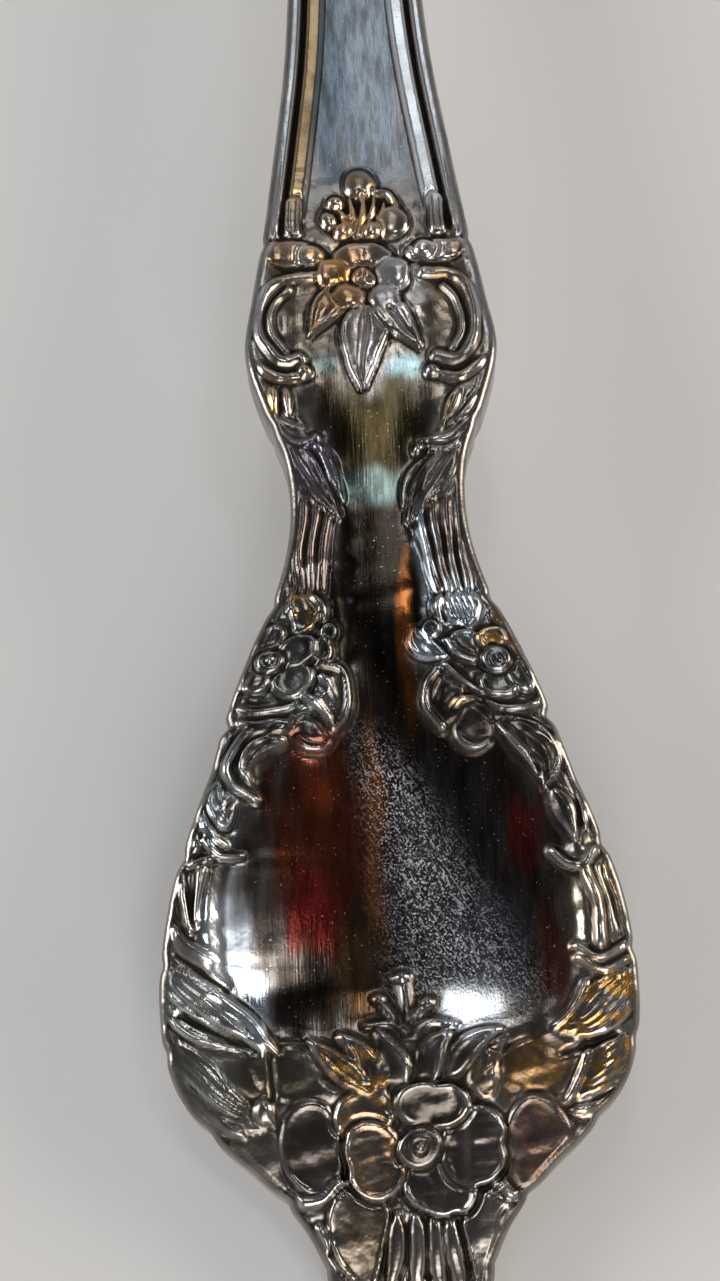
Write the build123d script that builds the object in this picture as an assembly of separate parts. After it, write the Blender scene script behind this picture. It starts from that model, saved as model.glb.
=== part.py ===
from build123d import *
import math
import os

os.makedirs("parts", exist_ok=True)

# Bar spoon lying bowl up on a flat surface. Length along Y: handle tip at -Y, bowl tip at +Y.
# The patterned face of the handle looks up (+Z). The origin is under the middle of the spoon.

# ---- driving sizes (mm) ----
SPOON_L = 276.0          # handle tip to bowl tip

HANDLE_L = 108.0         # handle tip to the face that the collar butts on
HANDLE_W = 24.0          # widest place of the handle
BULGE_W = 14.0           # second, smaller swelling of the handle
WAIST_W = 9.5            # waist between the two swellings
SHANK_W = 8.2            # narrow end of the flat shank
HANDLE_T = 2.6           # thickness of the pressed blank
SHANK_T = 3.4            # thickness of the shank at its round end
ARCH_R = 175.0           # radius of the long arch seen from the side
NECK_FALL = 1.1          # fall of the panel from the arch's crest to the round end
TIP_FOOT = 0.5           # how much the tip is worn flat where it rests
RELIEF_H = 0.7           # height of flowers and leaves over the panel
RAIL_W = 0.9             # width of the border ridges of the shank
RAIL_H = 0.3             # height of the border ridges
RAIL_INSET = 0.35        # from the edge of the shank to its border ridge
END_D = 7.0              # round end that holds the stem
END_L = 10.0             # length of the round end

STEM_SQ = 3.4            # side of the twisted square rod
STEM_CORNER_R = 0.35     # rounded corners of the rod
STEM_TURNS = 7           # full turns of the twist
SPIGOT_D = 3.0           # turned spigot at each end of the rod
SPIGOT_L = 6.0           # length of a spigot inside its socket
LAND_D = 3.8             # plain turned length of the rod inside each collar
SOCKET_GAP = 0.05        # clearance round spigots and lands
SOCKET_END_GAP = 0.5     # room left at the blind end of each socket

COLLAR_D = 7.0           # collar over each joint
COLLAR_L = 5.0
COLLAR_BEAD_D = 8.4      # bead of the collar, against the handle or bowl neck
COLLAR_BEAD_L = 1.6
SOLDER_LEG = 0.5         # leg of the solder fillet in the corner under the bead

BOWL_L = 44.0            # heel to tip of the bowl
BOWL_W = 26.0            # widest place of the bowl
BOWL_HEEL_L = 19.0       # heel to the widest place
BOWL_WALL = 1.1          # wall at the rim and in the bottom
RIM_Z = 8.2              # height of the rim over the table
BOWL_FOOT = 0.15         # how much the underside is worn flat
NECK_D = 6.6             # solid neck of the bowl that holds the stem
NECK_L = 12.0            # neck in front of the heel
NECK_ROOT_W = 9.0        # width and height of the neck where it joins the heel
NECK_ROOT_H = 3.6
NECK_ROOT_IN = 3.0       # how far the neck runs into the heel

# ---- stations along Y and heights that follow from the sizes ----
TIP_Y = -SPOON_L / 2
HANDLE_END_Y = TIP_Y + HANDLE_L
BOWL_TIP_Y = SPOON_L / 2
HEEL_Y = BOWL_TIP_Y - BOWL_L
NECK_END_Y = HEEL_Y - NECK_L
ARCH_U = 0.52 * HANDLE_L                          # crest of the arch, from the tip
ARCH_FALL = ARCH_R - math.sqrt(ARCH_R**2 - ARCH_U**2)
ARCH_TOP = HANDLE_T - TIP_FOOT + ARCH_FALL
AXIS_Z = ARCH_TOP - NECK_FALL - SHANK_T / 2


def face_z(u):
    """Height of the handle's panel u mm from the tip: an arc up to the crest, then a slow fall."""
    if u < ARCH_U:
        return ARCH_TOP - ARCH_R + math.sqrt(ARCH_R**2 - (ARCH_U - u) ** 2)
    return ARCH_TOP - NECK_FALL * ((u - ARCH_U) / (HANDLE_L - ARCH_U)) ** 2


def bar(d, y0, y1):
    """Round bar on the stem axis between two stations."""
    return Pos(0, (y0 + y1) / 2, AXIS_Z) * Rot(90, 0, 0) * Cylinder(d / 2, y1 - y0)


# ---- handle ----
# Plan outline: half width against distance from the tip, as a share of the handle's length.
PLAN = [
    (0.30 * HANDLE_W / 2, 0.014),
    (0.40 * HANDLE_W / 2, 0.045),
    (0.58 * HANDLE_W / 2, 0.074),
    (0.86 * HANDLE_W / 2, 0.103),
    (1.00 * HANDLE_W / 2, 0.148),
    (0.94 * HANDLE_W / 2, 0.204),
    (0.75 * HANDLE_W / 2, 0.270),
    (0.50 * HANDLE_W / 2, 0.338),
    (WAIST_W / 2, 0.389),
    (0.88 * BULGE_W / 2, 0.443),
    (BULGE_W / 2, 0.478),
    (0.88 * BULGE_W / 2, 0.530),
    (0.75 * BULGE_W / 2, 0.602),
    (0.62 * BULGE_W / 2, 0.685),
    (SHANK_W / 2, 0.780),
    (SHANK_W / 2, 0.860),
    (END_D / 2 - 0.3, 0.930),
]


def plan_face(inset=0.0):
    """Plan of the handle, mirrored left and right; inset moves its long sides inwards."""
    right = [(x - inset, TIP_Y + share * HANDLE_L) for x, share in PLAN]
    left = [(-x, y) for x, y in right]
    with BuildSketch() as plan:
        with BuildLine():
            side = Spline([(0, TIP_Y)] + right)
            other = Spline([(0, TIP_Y)] + left)
            Line(side @ 1, other @ 1)
        make_face()
    return plan.sketch


def side_face(over=0.0):
    """Side view of the blank: the arch on top, raised by over, and the underside below it."""
    shares = [i / 12 * 0.93 for i in range(13)]
    top = [(TIP_Y + s * HANDLE_L, face_z(s * HANDLE_L) + over) for s in shares]
    under = [
        (TIP_Y + s * HANDLE_L, face_z(s * HANDLE_L) - HANDLE_T - (SHANK_T - HANDLE_T) * s**3)
        for s in shares
    ]
    with BuildSketch(Plane.YZ) as side:
        with BuildLine():
            upper = Spline(top)
            lower = Spline(under)
            Line(upper @ 0, lower @ 0)
            Line(upper @ 1, lower @ 1)
        make_face()
    return side.sketch


def pressed(plan, side):
    """Solid whose plan and side view are the two given faces."""
    return extrude(plan, 40, both=True) & extrude(side, HANDLE_W, both=True)


def on_face(x, share, sink=0.0):
    """Point on the panel: x mm from the centre line, a share of the length from the tip."""
    return Vector(x, TIP_Y + share * HANDLE_L, face_z(share * HANDLE_L) - sink)


def dome(x, share, r):
    """Low round boss of radius r, RELIEF_H high: the cap of a ball, rooted halfway into the blank."""
    ball = (r**2 + RELIEF_H**2) / (2 * RELIEF_H)
    keep = Pos(on_face(x, share)) * Box(2 * ball, 2 * ball, HANDLE_T)
    return Pos(on_face(x, share, ball - RELIEF_H)) * Sphere(ball) & keep


def leaf(x0, share0, x1, share1, r):
    """Leaf or stalk: a half-sunk rod from base to tip that narrows to nothing."""
    base = on_face(x0, share0)
    tip = on_face(x1, share1)
    way = tip - base
    cone = Solid.make_cone(r, 0.15, way.length, Plane(origin=base, z_dir=way))
    return cone.fuse(Pos(base) * Solid.make_sphere(r))


def flower(x, share, petal_r, spread, count=5, first=90):
    """Petals in a ring round a centre button."""
    petals = [dome(x, share, 0.6 * petal_r)]
    for i in range(count):
        a = math.radians(first + i * 360 / count)
        du = spread * math.sin(a)
        petals.append(dome(x + spread * math.cos(a), share + du / HANDLE_L, petal_r))
    return petals


def make_handle():
    """Die-struck handle: blank, border ridges, flowers and leaves, round socketed end."""
    body = pressed(plan_face(), side_face())
    ring = plan_face(RAIL_INSET) - plan_face(RAIL_INSET + RAIL_W)
    shank_only = Pos(0, TIP_Y + 0.70 * HANDLE_L, 0) * Box(HANDLE_W, 0.30 * HANDLE_L, 40)
    rails = pressed(ring, side_face(RAIL_H)) & shank_only
    w = HANDLE_W / 2
    relief = flower(0.04 * w, 0.086, 1.7, 2.6)
    relief += flower(-0.42 * w, 0.305, 0.9, 1.4) + flower(0.42 * w, 0.305, 0.9, 1.4)
    relief += flower(0, 0.520, 1.4, 2.0)
    for hand in (-1, 1):
        relief += [
            leaf(hand * 0.18 * w, 0.050, hand * 0.30 * w, 0.030, 0.6),
            leaf(hand * 0.20 * w, 0.115, hand * 0.42 * w, 0.140, 0.6),
            leaf(hand * 0.52 * w, 0.090, hand * 0.72 * w, 0.110, 0.7),
            leaf(hand * 0.90 * w, 0.145, hand * 0.62 * w, 0.125, 0.7),
            leaf(hand * 0.93 * w, 0.170, hand * 0.80 * w, 0.205, 0.6),
            leaf(hand * 0.76 * w, 0.235, hand * 0.66 * w, 0.270, 0.6),
            leaf(hand * 0.42 * w, 0.340, hand * 0.30 * w, 0.375, 0.6),
            leaf(hand * 0.20 * w, 0.420, hand * 0.12 * w, 0.380, 0.6),
            leaf(hand * 0.38 * w, 0.475, hand * 0.40 * w, 0.520, 0.6),
        ]
    end = bar(END_D, HANDLE_END_Y - END_L, HANDLE_END_Y)
    shoulder = Solid.make_cone(
        0.3, END_D / 2, END_L, Plane(origin=(0, HANDLE_END_Y - 2 * END_L, AXIS_Z), z_dir=(0, 1, 0))
    )
    for piece in [rails, end, shoulder] + relief:
        body = body + piece
    socket = bar(SPIGOT_D + 2 * SOCKET_GAP, HANDLE_END_Y - SPIGOT_L - SOCKET_END_GAP, HANDLE_END_Y)
    table = Pos(0, 0, -20) * Box(4 * HANDLE_W, 2 * SPOON_L, 40)
    return body - socket - table


# ---- stem ----
def make_stem():
    """Twisted square rod with a plain land and a thinner spigot turned on each end."""
    twist_y0 = HANDLE_END_Y + COLLAR_L
    twist_y1 = NECK_END_Y - COLLAR_L
    square = Plane((0, twist_y0, AXIS_Z), x_dir=(1, 0, 0), z_dir=(0, 1, 0)) * RectangleRounded(
        STEM_SQ, STEM_SQ, STEM_CORNER_R
    )
    rod = Solid.extrude_linear_with_rotation(
        square.faces()[0],
        center=(0, twist_y0, AXIS_Z),
        normal=(0, twist_y1 - twist_y0, 0),
        angle=360 * STEM_TURNS,
    )
    stem = rod + bar(LAND_D, HANDLE_END_Y, twist_y0) + bar(LAND_D, twist_y1, NECK_END_Y)
    stem = stem + bar(SPIGOT_D, HANDLE_END_Y - SPIGOT_L, HANDLE_END_Y)
    return stem + bar(SPIGOT_D, NECK_END_Y, NECK_END_Y + SPIGOT_L)


# ---- collars and solder ----
def make_collar(y, away):
    """Turned collar with its bead on the joint face at y; away is +1 or -1 along Y."""
    collar = bar(COLLAR_D, *sorted((y, y + away * COLLAR_L)))
    collar = collar + bar(COLLAR_BEAD_D, *sorted((y, y + away * COLLAR_BEAD_L)))
    collar = fillet(collar.edges().filter_by(GeomType.CIRCLE).filter_by(
        lambda e: abs(e.radius - COLLAR_BEAD_D / 2) < 0.01), COLLAR_BEAD_L / 4)
    return collar - bar(LAND_D + 2 * SOCKET_GAP, *sorted((y, y + away * COLLAR_L)))


def make_solder(y, away, shaft_d):
    """Three-cornered ring of solder between the collar's bead at y and the shaft beside it."""
    r = shaft_d / 2
    with BuildSketch(Plane.YZ) as corner:
        with BuildLine():
            Polyline(
                (y, AXIS_Z + r), (y, AXIS_Z + r + SOLDER_LEG), (y - away * SOLDER_LEG, AXIS_Z + r), close=True
            )
        make_face()
    return revolve(corner.sketch, Axis((0, 0, AXIS_Z), (0, 1, 0)))


# ---- bowl ----
def half_egg(width, length, depth, toward):
    """Quarter of an ellipsoid under the rim plane, on one side of the widest place."""
    quarter = Sphere(1) & Pos(0, toward, -1) * Box(4, 2, 2)
    return scale(quarter, by=(width / 2, length, depth))


def egg(inset):
    """Egg-shaped lower body of the bowl; inset moves its surface inwards."""
    width = BOWL_W - 2 * inset
    depth = RIM_Z + BOWL_FOOT - inset
    heel = half_egg(width, BOWL_HEEL_L - inset, depth, -1)
    tip = half_egg(width, BOWL_L - BOWL_HEEL_L - inset, depth, 1)
    return Pos(0, HEEL_Y + BOWL_HEEL_L, RIM_Z) * (heel + tip)


def egg_above(inset):
    """Open space over the bowl, as wide as the egg at the rim."""
    with BuildSketch() as plan:
        with Locations((0, HEEL_Y + BOWL_HEEL_L)):
            Ellipse(BOWL_W / 2 - inset, BOWL_HEEL_L - inset)
    return Pos(0, 0, RIM_Z) * extrude(plan.sketch, 10)


def make_bowl():
    """Dished bowl with a solid neck that runs from the heel to the stem."""
    root_plane = Plane((0, HEEL_Y + NECK_ROOT_IN, RIM_Z - NECK_ROOT_H / 2), x_dir=(1, 0, 0), z_dir=(0, 1, 0))
    root = root_plane * Ellipse(NECK_ROOT_W / 2, NECK_ROOT_H / 2)
    round_y = NECK_END_Y + SPIGOT_L + 2
    round_plane = Plane((0, round_y, AXIS_Z), x_dir=(1, 0, 0), z_dir=(0, 1, 0))
    taper = loft([round_plane * Circle(NECK_D / 2), root])
    neck = bar(NECK_D, NECK_END_Y, round_y) + taper
    socket = bar(SPIGOT_D + 2 * SOCKET_GAP, NECK_END_Y, NECK_END_Y + SPIGOT_L + SOCKET_END_GAP)
    table = Pos(0, 0, -20) * Box(4 * BOWL_W, 2 * SPOON_L, 40)
    return egg(0) + neck - egg(BOWL_WALL) - egg_above(BOWL_WALL) - socket - table


pieces = {
    "handle": make_handle(),
    "handle_ferrule": make_collar(HANDLE_END_Y, 1),
    "stem": make_stem(),
    "bowl_ferrule": make_collar(NECK_END_Y, -1),
    "bowl": make_bowl(),
    "handle_solder": make_solder(HANDLE_END_Y, 1, END_D),
    "bowl_solder": make_solder(NECK_END_Y, -1, NECK_D),
}
for name, shape in pieces.items():
    shape.label = name
    export_step(shape, f"parts/{name}.step")
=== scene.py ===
import math

import bpy
import numpy as np
from mathutils import Matrix, Vector


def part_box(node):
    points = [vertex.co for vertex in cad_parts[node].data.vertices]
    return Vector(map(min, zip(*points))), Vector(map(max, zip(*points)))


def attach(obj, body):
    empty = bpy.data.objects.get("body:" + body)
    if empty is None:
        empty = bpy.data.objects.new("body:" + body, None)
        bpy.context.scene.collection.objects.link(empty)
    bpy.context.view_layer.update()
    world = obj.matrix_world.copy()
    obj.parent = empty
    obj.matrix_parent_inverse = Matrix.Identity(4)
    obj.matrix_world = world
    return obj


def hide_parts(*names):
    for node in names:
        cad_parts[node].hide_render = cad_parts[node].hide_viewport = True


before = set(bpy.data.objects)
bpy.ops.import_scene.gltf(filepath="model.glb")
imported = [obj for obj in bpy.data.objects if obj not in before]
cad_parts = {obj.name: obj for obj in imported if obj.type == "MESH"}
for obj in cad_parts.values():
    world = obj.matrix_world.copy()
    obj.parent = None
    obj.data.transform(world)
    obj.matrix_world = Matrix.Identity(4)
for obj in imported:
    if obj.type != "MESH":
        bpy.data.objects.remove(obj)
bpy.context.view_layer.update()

MM = 0.001

# ---- Camera ----
# Close above the handle, looking down its length from the tip end towards the bowl.
# The aim point is on the handle's face, in millimetres from the handle's tip.
handle_low, handle_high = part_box("handle")
TIP_Y = handle_low.y / MM
AIM = Vector((-1.25, TIP_Y + 34.5, 10.0)) * MM
CAMERA_FAR = 93 * MM
CAMERA_UP = math.radians(66)
CAMERA_ROLL = math.radians(-2.3)

back = Vector((0, -math.cos(CAMERA_UP), math.sin(CAMERA_UP)))
level = Vector((1, 0, 0))
rise = level.cross(-back).normalized()
right = level * math.cos(CAMERA_ROLL) + rise * math.sin(CAMERA_ROLL)
up = rise * math.cos(CAMERA_ROLL) - level * math.sin(CAMERA_ROLL)
camera_data = bpy.data.cameras.new("camera")
camera_data.lens = 50
camera_data.sensor_width = 36
camera_data.clip_start = 0.002
camera = bpy.data.objects.new("camera", camera_data)
camera_turn = Matrix((right, up, back)).transposed().to_4x4()
camera.matrix_world = Matrix.Translation(AIM + back * CAMERA_FAR) @ camera_turn
bpy.context.scene.collection.objects.link(camera)
bpy.context.scene.camera = camera
bpy.context.scene.view_settings.view_transform = "Standard"


# ---- Floor ----
# A plain pale square surface that the spoon lies on, with the spoon at its middle.
# It isn't part of the spoon.
FLOOR_SIDE = 4.0
FLOOR_COLOUR = (0.66, 0.645, 0.63, 1)

floor_mesh = bpy.data.meshes.new("floor")
half = FLOOR_SIDE / 2
floor_corners = [(-half, -half, 0), (half, -half, 0), (half, half, 0), (-half, half, 0)]
floor_mesh.from_pydata(floor_corners, [], [(0, 1, 2, 3)])
floor = bpy.data.objects.new("floor", floor_mesh)
bpy.context.scene.collection.objects.link(floor)


class Shade:
    """A shader node's output. Operators add Math nodes, and make adds any other node."""

    def __init__(self, tree, socket=None):
        self.tree = tree
        self.socket = socket

    def make(self, kind, settings=None, inputs=None, out=0):
        """Add a node: its settings first, then values or links for its inputs by name or number."""
        node = self.tree.nodes.new(kind)
        for name, value in (settings or {}).items():
            setattr(node, name, value)
        for name, value in (inputs or {}).items():
            if isinstance(value, Shade):
                self.tree.links.new(value.socket, node.inputs[name])
            else:
                node.inputs[name].default_value = value
        return Shade(self.tree, node.outputs[out] if node.outputs else None)

    def maths(self, operation, a, b):
        """One Math node on two values."""
        return self.make("ShaderNodeMath", {"operation": operation}, {0: a, 1: b})

    def __add__(self, other):
        return self.maths("ADD", self, other)

    def __sub__(self, other):
        return self.maths("SUBTRACT", self, other)

    def __mul__(self, other):
        return self.maths("MULTIPLY", self, other)

    def __rsub__(self, other):
        return self.maths("SUBTRACT", other, self)

    __radd__ = __add__
    __rmul__ = __mul__

    def between(self, low, high):
        """Smooth 0 to 1 as this value goes from low to high."""
        settings = {"interpolation_type": "SMOOTHSTEP"}
        return self.make("ShaderNodeMapRange", settings, {0: self, 1: low, 2: high, 3: 0.0, 4: 1.0})

    def mix(self, a, b, blend="MIX"):
        """Colour a where this value is 0, and b, or a blended with b, where it is 1."""
        return self.make("ShaderNodeMix", {"data_type": "RGBA", "blend_type": blend}, {0: self, 6: a, 7: b}, 2)

    def noise(self, place, scale, detail=2.0, rough=0.5):
        """Cloudy values about 0.5, scale of them to a metre."""
        inputs = {"Vector": place, "Scale": scale, "Detail": detail, "Roughness": rough}
        return self.make("ShaderNodeTexNoise", {}, inputs)

    def stretched(self, place, x, y, z):
        """The place with each axis multiplied, so that a pattern is drawn out along the smallest."""
        return self.make("ShaderNodeVectorMath", {"operation": "MULTIPLY"}, {0: place, 1: (x, y, z)})

    def layer(self, name, out=2):
        """A value kept on the mesh's points, or a colour where out is 0."""
        return self.make("ShaderNodeAttribute", {"attribute_name": name}, out=out)

    def bump(self, strength, distance, height):
        """A normal tilted by the slope of height."""
        return self.make("ShaderNodeBump", {}, {"Strength": strength, "Distance": distance, "Height": height})

    def surface(self, inputs):
        """End the material in one Principled surface with these inputs."""
        principled = self.make("ShaderNodeBsdfPrincipled", {}, inputs)
        self.make("ShaderNodeOutputMaterial", {}, {"Surface": principled})


def new_material(name):
    """A material with an empty node tree, a Shade to build it with, and each point's place on the object."""
    material = bpy.data.materials.new(name)
    material.use_nodes = True
    material.node_tree.nodes.clear()
    shade = Shade(material.node_tree)
    return material, shade, shade.make("ShaderNodeTexCoord", out=3)


floor_material, shade, place = new_material("pale_floor")
cloud = shade.noise(place, 9.0, 3.0).between(0.3, 0.7)
floor_colour = cloud.mix(tuple(0.97 * c for c in FLOOR_COLOUR[:3]) + (1,), FLOOR_COLOUR)
shade.surface({"Base Color": floor_colour, "Roughness": 0.9})
floor_mesh.materials.append(floor_material)


# ---- Light ----
# Four small lamps high over the spoon put the highlights on its curves, and three wide soft ones stand far
# off to the left, right and front. The surround is pale at the horizon and darker overhead.
# Each lamp's name, place, aim and side in millimetres, power in watts, and colour.
LAMPS = [
    ("far", (8, 204, 305), (0, -68, 9), 110, 0.042, (0.90, 0.95, 1.0)),
    ("bulge", (0, 84, 365), (0, -82, 10), 60, 0.04, (1.0, 0.97, 0.93)),
    ("crown", (-15, 5, 365), (3, -115, 8), 66, 0.06, (0.92, 0.97, 1.0)),
    ("over", (112, -126, 367), (-8, -120, 6), 46, 0.08, (0.90, 0.95, 1.0)),
    ("left", (-1050, 0, 542), (0, -100, 5), 625, 7.2, (0.90, 0.95, 1.0)),
    ("right", (1050, 85, 492), (0, -90, 5), 625, 6.6, (1.0, 0.93, 0.83)),
    ("front", (100, -885, 592), (0, -110, 5), 575, 4.7, (1.0, 0.96, 0.92)),
]
ZENITH = (0.07, 0.072, 0.078, 1)
HORIZON = (0.46, 0.46, 0.47, 1)

for name, spot, aim, side, power, colour in LAMPS:
    lamp_data = bpy.data.lights.new(name + "_lamp", "AREA")
    lamp_data.size = side * MM
    lamp_data.energy = power
    lamp_data.color = colour
    lamp = bpy.data.objects.new(name + "_lamp", lamp_data)
    lamp.location = Vector(spot) * MM
    lamp.rotation_euler = (Vector(spot) - Vector(aim)).to_track_quat("Z", "Y").to_euler()
    bpy.context.scene.collection.objects.link(lamp)

world = bpy.data.worlds.new("surround")
world.use_nodes = True
world.node_tree.nodes.clear()
shade = Shade(world.node_tree)
way = shade.make("ShaderNodeTexCoord", out=0)
height = shade.make("ShaderNodeSeparateXYZ", {}, {"Vector": way}, 2)
surround_colour = height.between(0.05, 0.95).mix(HORIZON, ZENITH)
sky = shade.make("ShaderNodeBackground", {}, {"Color": surround_colour, "Strength": 1.0})
shade.make("ShaderNodeOutputWorld", {}, {"Surface": sky})
bpy.context.scene.world = world


# ---- Handle ----
# One pressing of silver-plated steel, struck between dies that raise its flowers, leaves and border.
# Its narrow end is round, with a blind socket that the stem is brazed into.
# Sizes in millimetres; u is the distance from the tip, x the distance from the centre line.
HANDLE_L = (handle_high.y - handle_low.y) / MM
BLANK_T = 2.6
SHANK_T = 3.4
ARCH_R = 175.0
ARCH_U = 0.52 * HANDLE_L
NECK_FALL = 1.1
TIP_FOOT = 0.5
END_R = 3.5
SOCKET_R = 1.55
SOCKET_L = 6.5
EDGE_R = 0.42
TIP_ROUND_L = 4.0
TIP_EDGE_L = 1.1
ROUND_U = 98.0
MOUTH_EDGE = 0.15
ARCH_TOP = BLANK_T - TIP_FOOT + ARCH_R - math.sqrt(ARCH_R**2 - ARCH_U**2)
AXIS_Z = ARCH_TOP - NECK_FALL - SHANK_T / 2

# Half width at stations along the handle, left and right alike but for a few tenths.
OUTLINE_U = [
    TIP_ROUND_L, 6, 8, 10, 12, 14, 16.5, 19, 22, 25, 28, 31, 34, 37, 39.5, 42, 45, 48, 51.5, 55, 60, 66, 72, 78,
    90, 100,
]
OUTLINE_X = [
    4.1, 5.2, 7.0, 9.3, 11.0, 11.75, 12.0, 11.85, 11.3, 10.3, 9.2, 8.3, 7.1, 5.75, 5.0, 4.7, 5.0, 6.1, 7.0, 6.6,
    5.85, 5.1, 4.45, 4.1, 3.9, 3.6,
]
# Small notches in the outline between the leaves: place, depth and width.
NOTCHES = [
    (7.2, 0.25, 0.35), (10.6, 0.2, 0.4), (14.2, 0.12, 0.4), (18.4, 0.12, 0.35), (23.6, 0.18, 0.4),
    (30.2, 0.3, 0.35), (36.6, 0.15, 0.4), (47.0, 0.1, 0.4), (58.9, 0.12, 0.4),
]
# Rows of points close together where the relief is fine, wider apart on the plain shank and end.
ROW_STEPS = [(0.02, 2.6, 24), (2.6, 37.0, 296), (37.0, 64.8, 178), (64.8, 92.0, 36), (92.0, 108.0, 12)]
FRONT_COLUMNS = 152
SIDE_COLUMNS = 5
BACK_COLUMNS = 10


def through(at, knots, values):
    """Smooth curve through knots: cubic Hermite pieces, each slope the mean of its neighbours' slopes."""
    knots = np.asarray(knots, float)
    values = np.asarray(values, float)
    slopes = np.gradient(values, knots, axis=0)
    piece = np.clip(np.searchsorted(knots, at) - 1, 0, len(knots) - 2)
    span = knots[piece + 1] - knots[piece]
    f = np.clip((at - knots[piece]) / span, 0, 1)
    if values.ndim > 1:
        span, f = span[..., None], f[..., None]
    low, high = values[piece], values[piece + 1]
    rise_low, rise_high = slopes[piece] * span, slopes[piece + 1] * span
    return (
        low * (1 + 2 * f) * (1 - f) ** 2 + rise_low * f * (1 - f) ** 2
        + high * f**2 * (3 - 2 * f) - rise_high * f**2 * (1 - f)
    )


def ease(value, low, high):
    """0 below low, 1 above high, and 3t^2 - 2t^3 between them. Low may be more than high."""
    t = np.clip((value - low) / (high - low), 0, 1)
    return t * t * (3 - 2 * t)


def face_height(u):
    """Height of the handle's face over the table: an arc up to the crest, then a slow parabola down."""
    arc = ARCH_TOP - ARCH_R + np.sqrt(ARCH_R**2 - np.minimum(ARCH_U - u, ARCH_U) ** 2)
    fall = ARCH_TOP - NECK_FALL * ((u - ARCH_U) / (HANDLE_L - ARCH_U)) ** 2
    return np.where(u < ARCH_U, arc, fall)


def half_width(u):
    """Outline: round at the tip, smooth through its stations, less a Gaussian dip at each notch."""
    width = through(np.maximum(u, TIP_ROUND_L), OUTLINE_U, OUTLINE_X)
    for at, deep, wide in NOTCHES:
        width = width - deep * np.exp(-(((u - at) / wide) ** 2))
    return width * np.sqrt(1 - (1 - np.minimum(u / TIP_ROUND_L, 1)) ** 2)


row_u = np.concatenate([np.linspace(*steps, endpoint=False) for steps in ROW_STEPS] + [[HANDLE_L - MOUTH_EDGE]])
row_half = half_width(row_u)
# Columns crowd towards the edges where the broad part's border is fine.
crowd = 0.52 * ease(row_u, 12, 17) * ease(row_u, 35, 30)
share = np.linspace(-1, 1, FRONT_COLUMNS)
front_share = share[None, :] + crowd[:, None] * np.sin(np.pi * share)[None, :] / np.pi
X = (row_half - EDGE_R * np.minimum(1, row_half / 2))[:, None] * front_share
U = np.repeat(row_u[:, None], FRONT_COLUMNS, axis=1)
inset = row_half[:, None] - np.abs(X)

BANK = 0.2  # height of the banks beside the panel
DEPTH = 0.62  # height of a shape whose own height is 1
DRAFT = 1.5  # slope of a shape's outer wall
FOLLOW = 0.8  # share of the dish's depth that a shape over it sinks by
PETAL_TILT = 0.11  # fall of a petal towards its flower's eye
VEIN = 0.026  # height of a petal's fine veins
VEIN_STEP = 0.46  # distance from one vein to the next
SWELL = 0.008  # height of the metal's swells, as a share of their length
LINE_STEPS = 24  # steps along a leaf's midline


def lay_ground():
    """The die's ground: a dished panel down the middle, its depth falling as 1 - (x / half width)^2,
    between low banks that carry the leaves."""
    panel = through(U, [12, 14, 15, 16.5, 18, 21, 25, 28, 30, 31.5, 34, 38, 43, 46, 48.5, 51, 54],
                    [3, 6.2, 7.6, 8.7, 9.2, 9.4, 8.6, 6.9, 4.9, 3.3, 2.4, 2.5, 2.6, 3.2, 4.4, 5.2, 5.4])
    deep = through(U, [11, 13.6, 14.4, 15.6, 17, 19, 24, 28, 32, 38, 44, 48, 50.3, 52],
                   [0, 0.0, 0.12, 0.55, 1.02, 1.25, 1.15, 0.75, 0.4, 0.2, 0.25, 0.35, 0.2, 0])
    dish = np.maximum(0, 1 - (X / panel) ** 2)
    side = np.abs(X) / np.maximum(row_half[:, None], 0.1)
    bank = BANK * ease(np.abs(X) - panel, -0.6, 0.5) * ease(U, 60, 58)
    return bank - deep * dish - 0.3 * ease(side, 0.86, 1.0) * ease(U, 66, 60), ease(dish * deep, 0.03, 0.25)


# The dies were cut by hand: every outline sways a little from true.
sway_x = 0.08 * np.sin(0.9 * U + 0.5 * X) + 0.03 * np.sin(2.1 * U - 1.4 * X + 1.0)
sway_u = 0.08 * np.sin(0.8 * X - 0.6 * U + 2.0) + 0.03 * np.sin(1.9 * X + 1.5 * U)
Z, panel_mask = lay_ground()
ground = Z.copy()
# Amber-gold colour on some leaves and petals: partly tarnished plate, partly painted glints of warm light.
gold_tint_and_glint = np.zeros_like(Z)


def spread(r, inner, side, kind):
    """Cross-section of a leaf or petal: r is 0 on its midline and 1 at its edge, inner the distance in
    from the edge, side its sign. A thin rim runs just inside the edge, over a dome, hollow or fine lines."""
    dome = np.sqrt(np.maximum(0, 1 - 0.9 * r**2))
    rim = np.exp(-(((inner - 0.12) / 0.08) ** 2))
    if kind == "vein":
        return 0.75 * dome + 0.35 * rim - 0.45 * np.exp(-((r / 0.15) ** 2))
    if kind == "cup":
        return 0.4 + 0.3 * dome + 0.05 * np.cos(7 * r) + 0.4 * rim
    if kind == "lined":
        return 0.5 * dome + 0.26 * np.cos(2 * np.pi * 3.1 * r * side + 0.5) + 0.3 * rim
    if kind == "rolled":
        return 0.35 + 0.4 * side * r + 0.5 * rim
    return dome


def taper(t, kind):
    """Half width along a leaf or ridge as a share of its widest, t from 0 at its base to 1 at its tip."""
    if kind == "leaf":
        return np.sin(np.pi * np.clip(t, 0, 1) ** 0.75) ** 0.8
    if kind == "tail":
        return 1 - 0.7 * t
    return np.ones_like(t)


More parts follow.
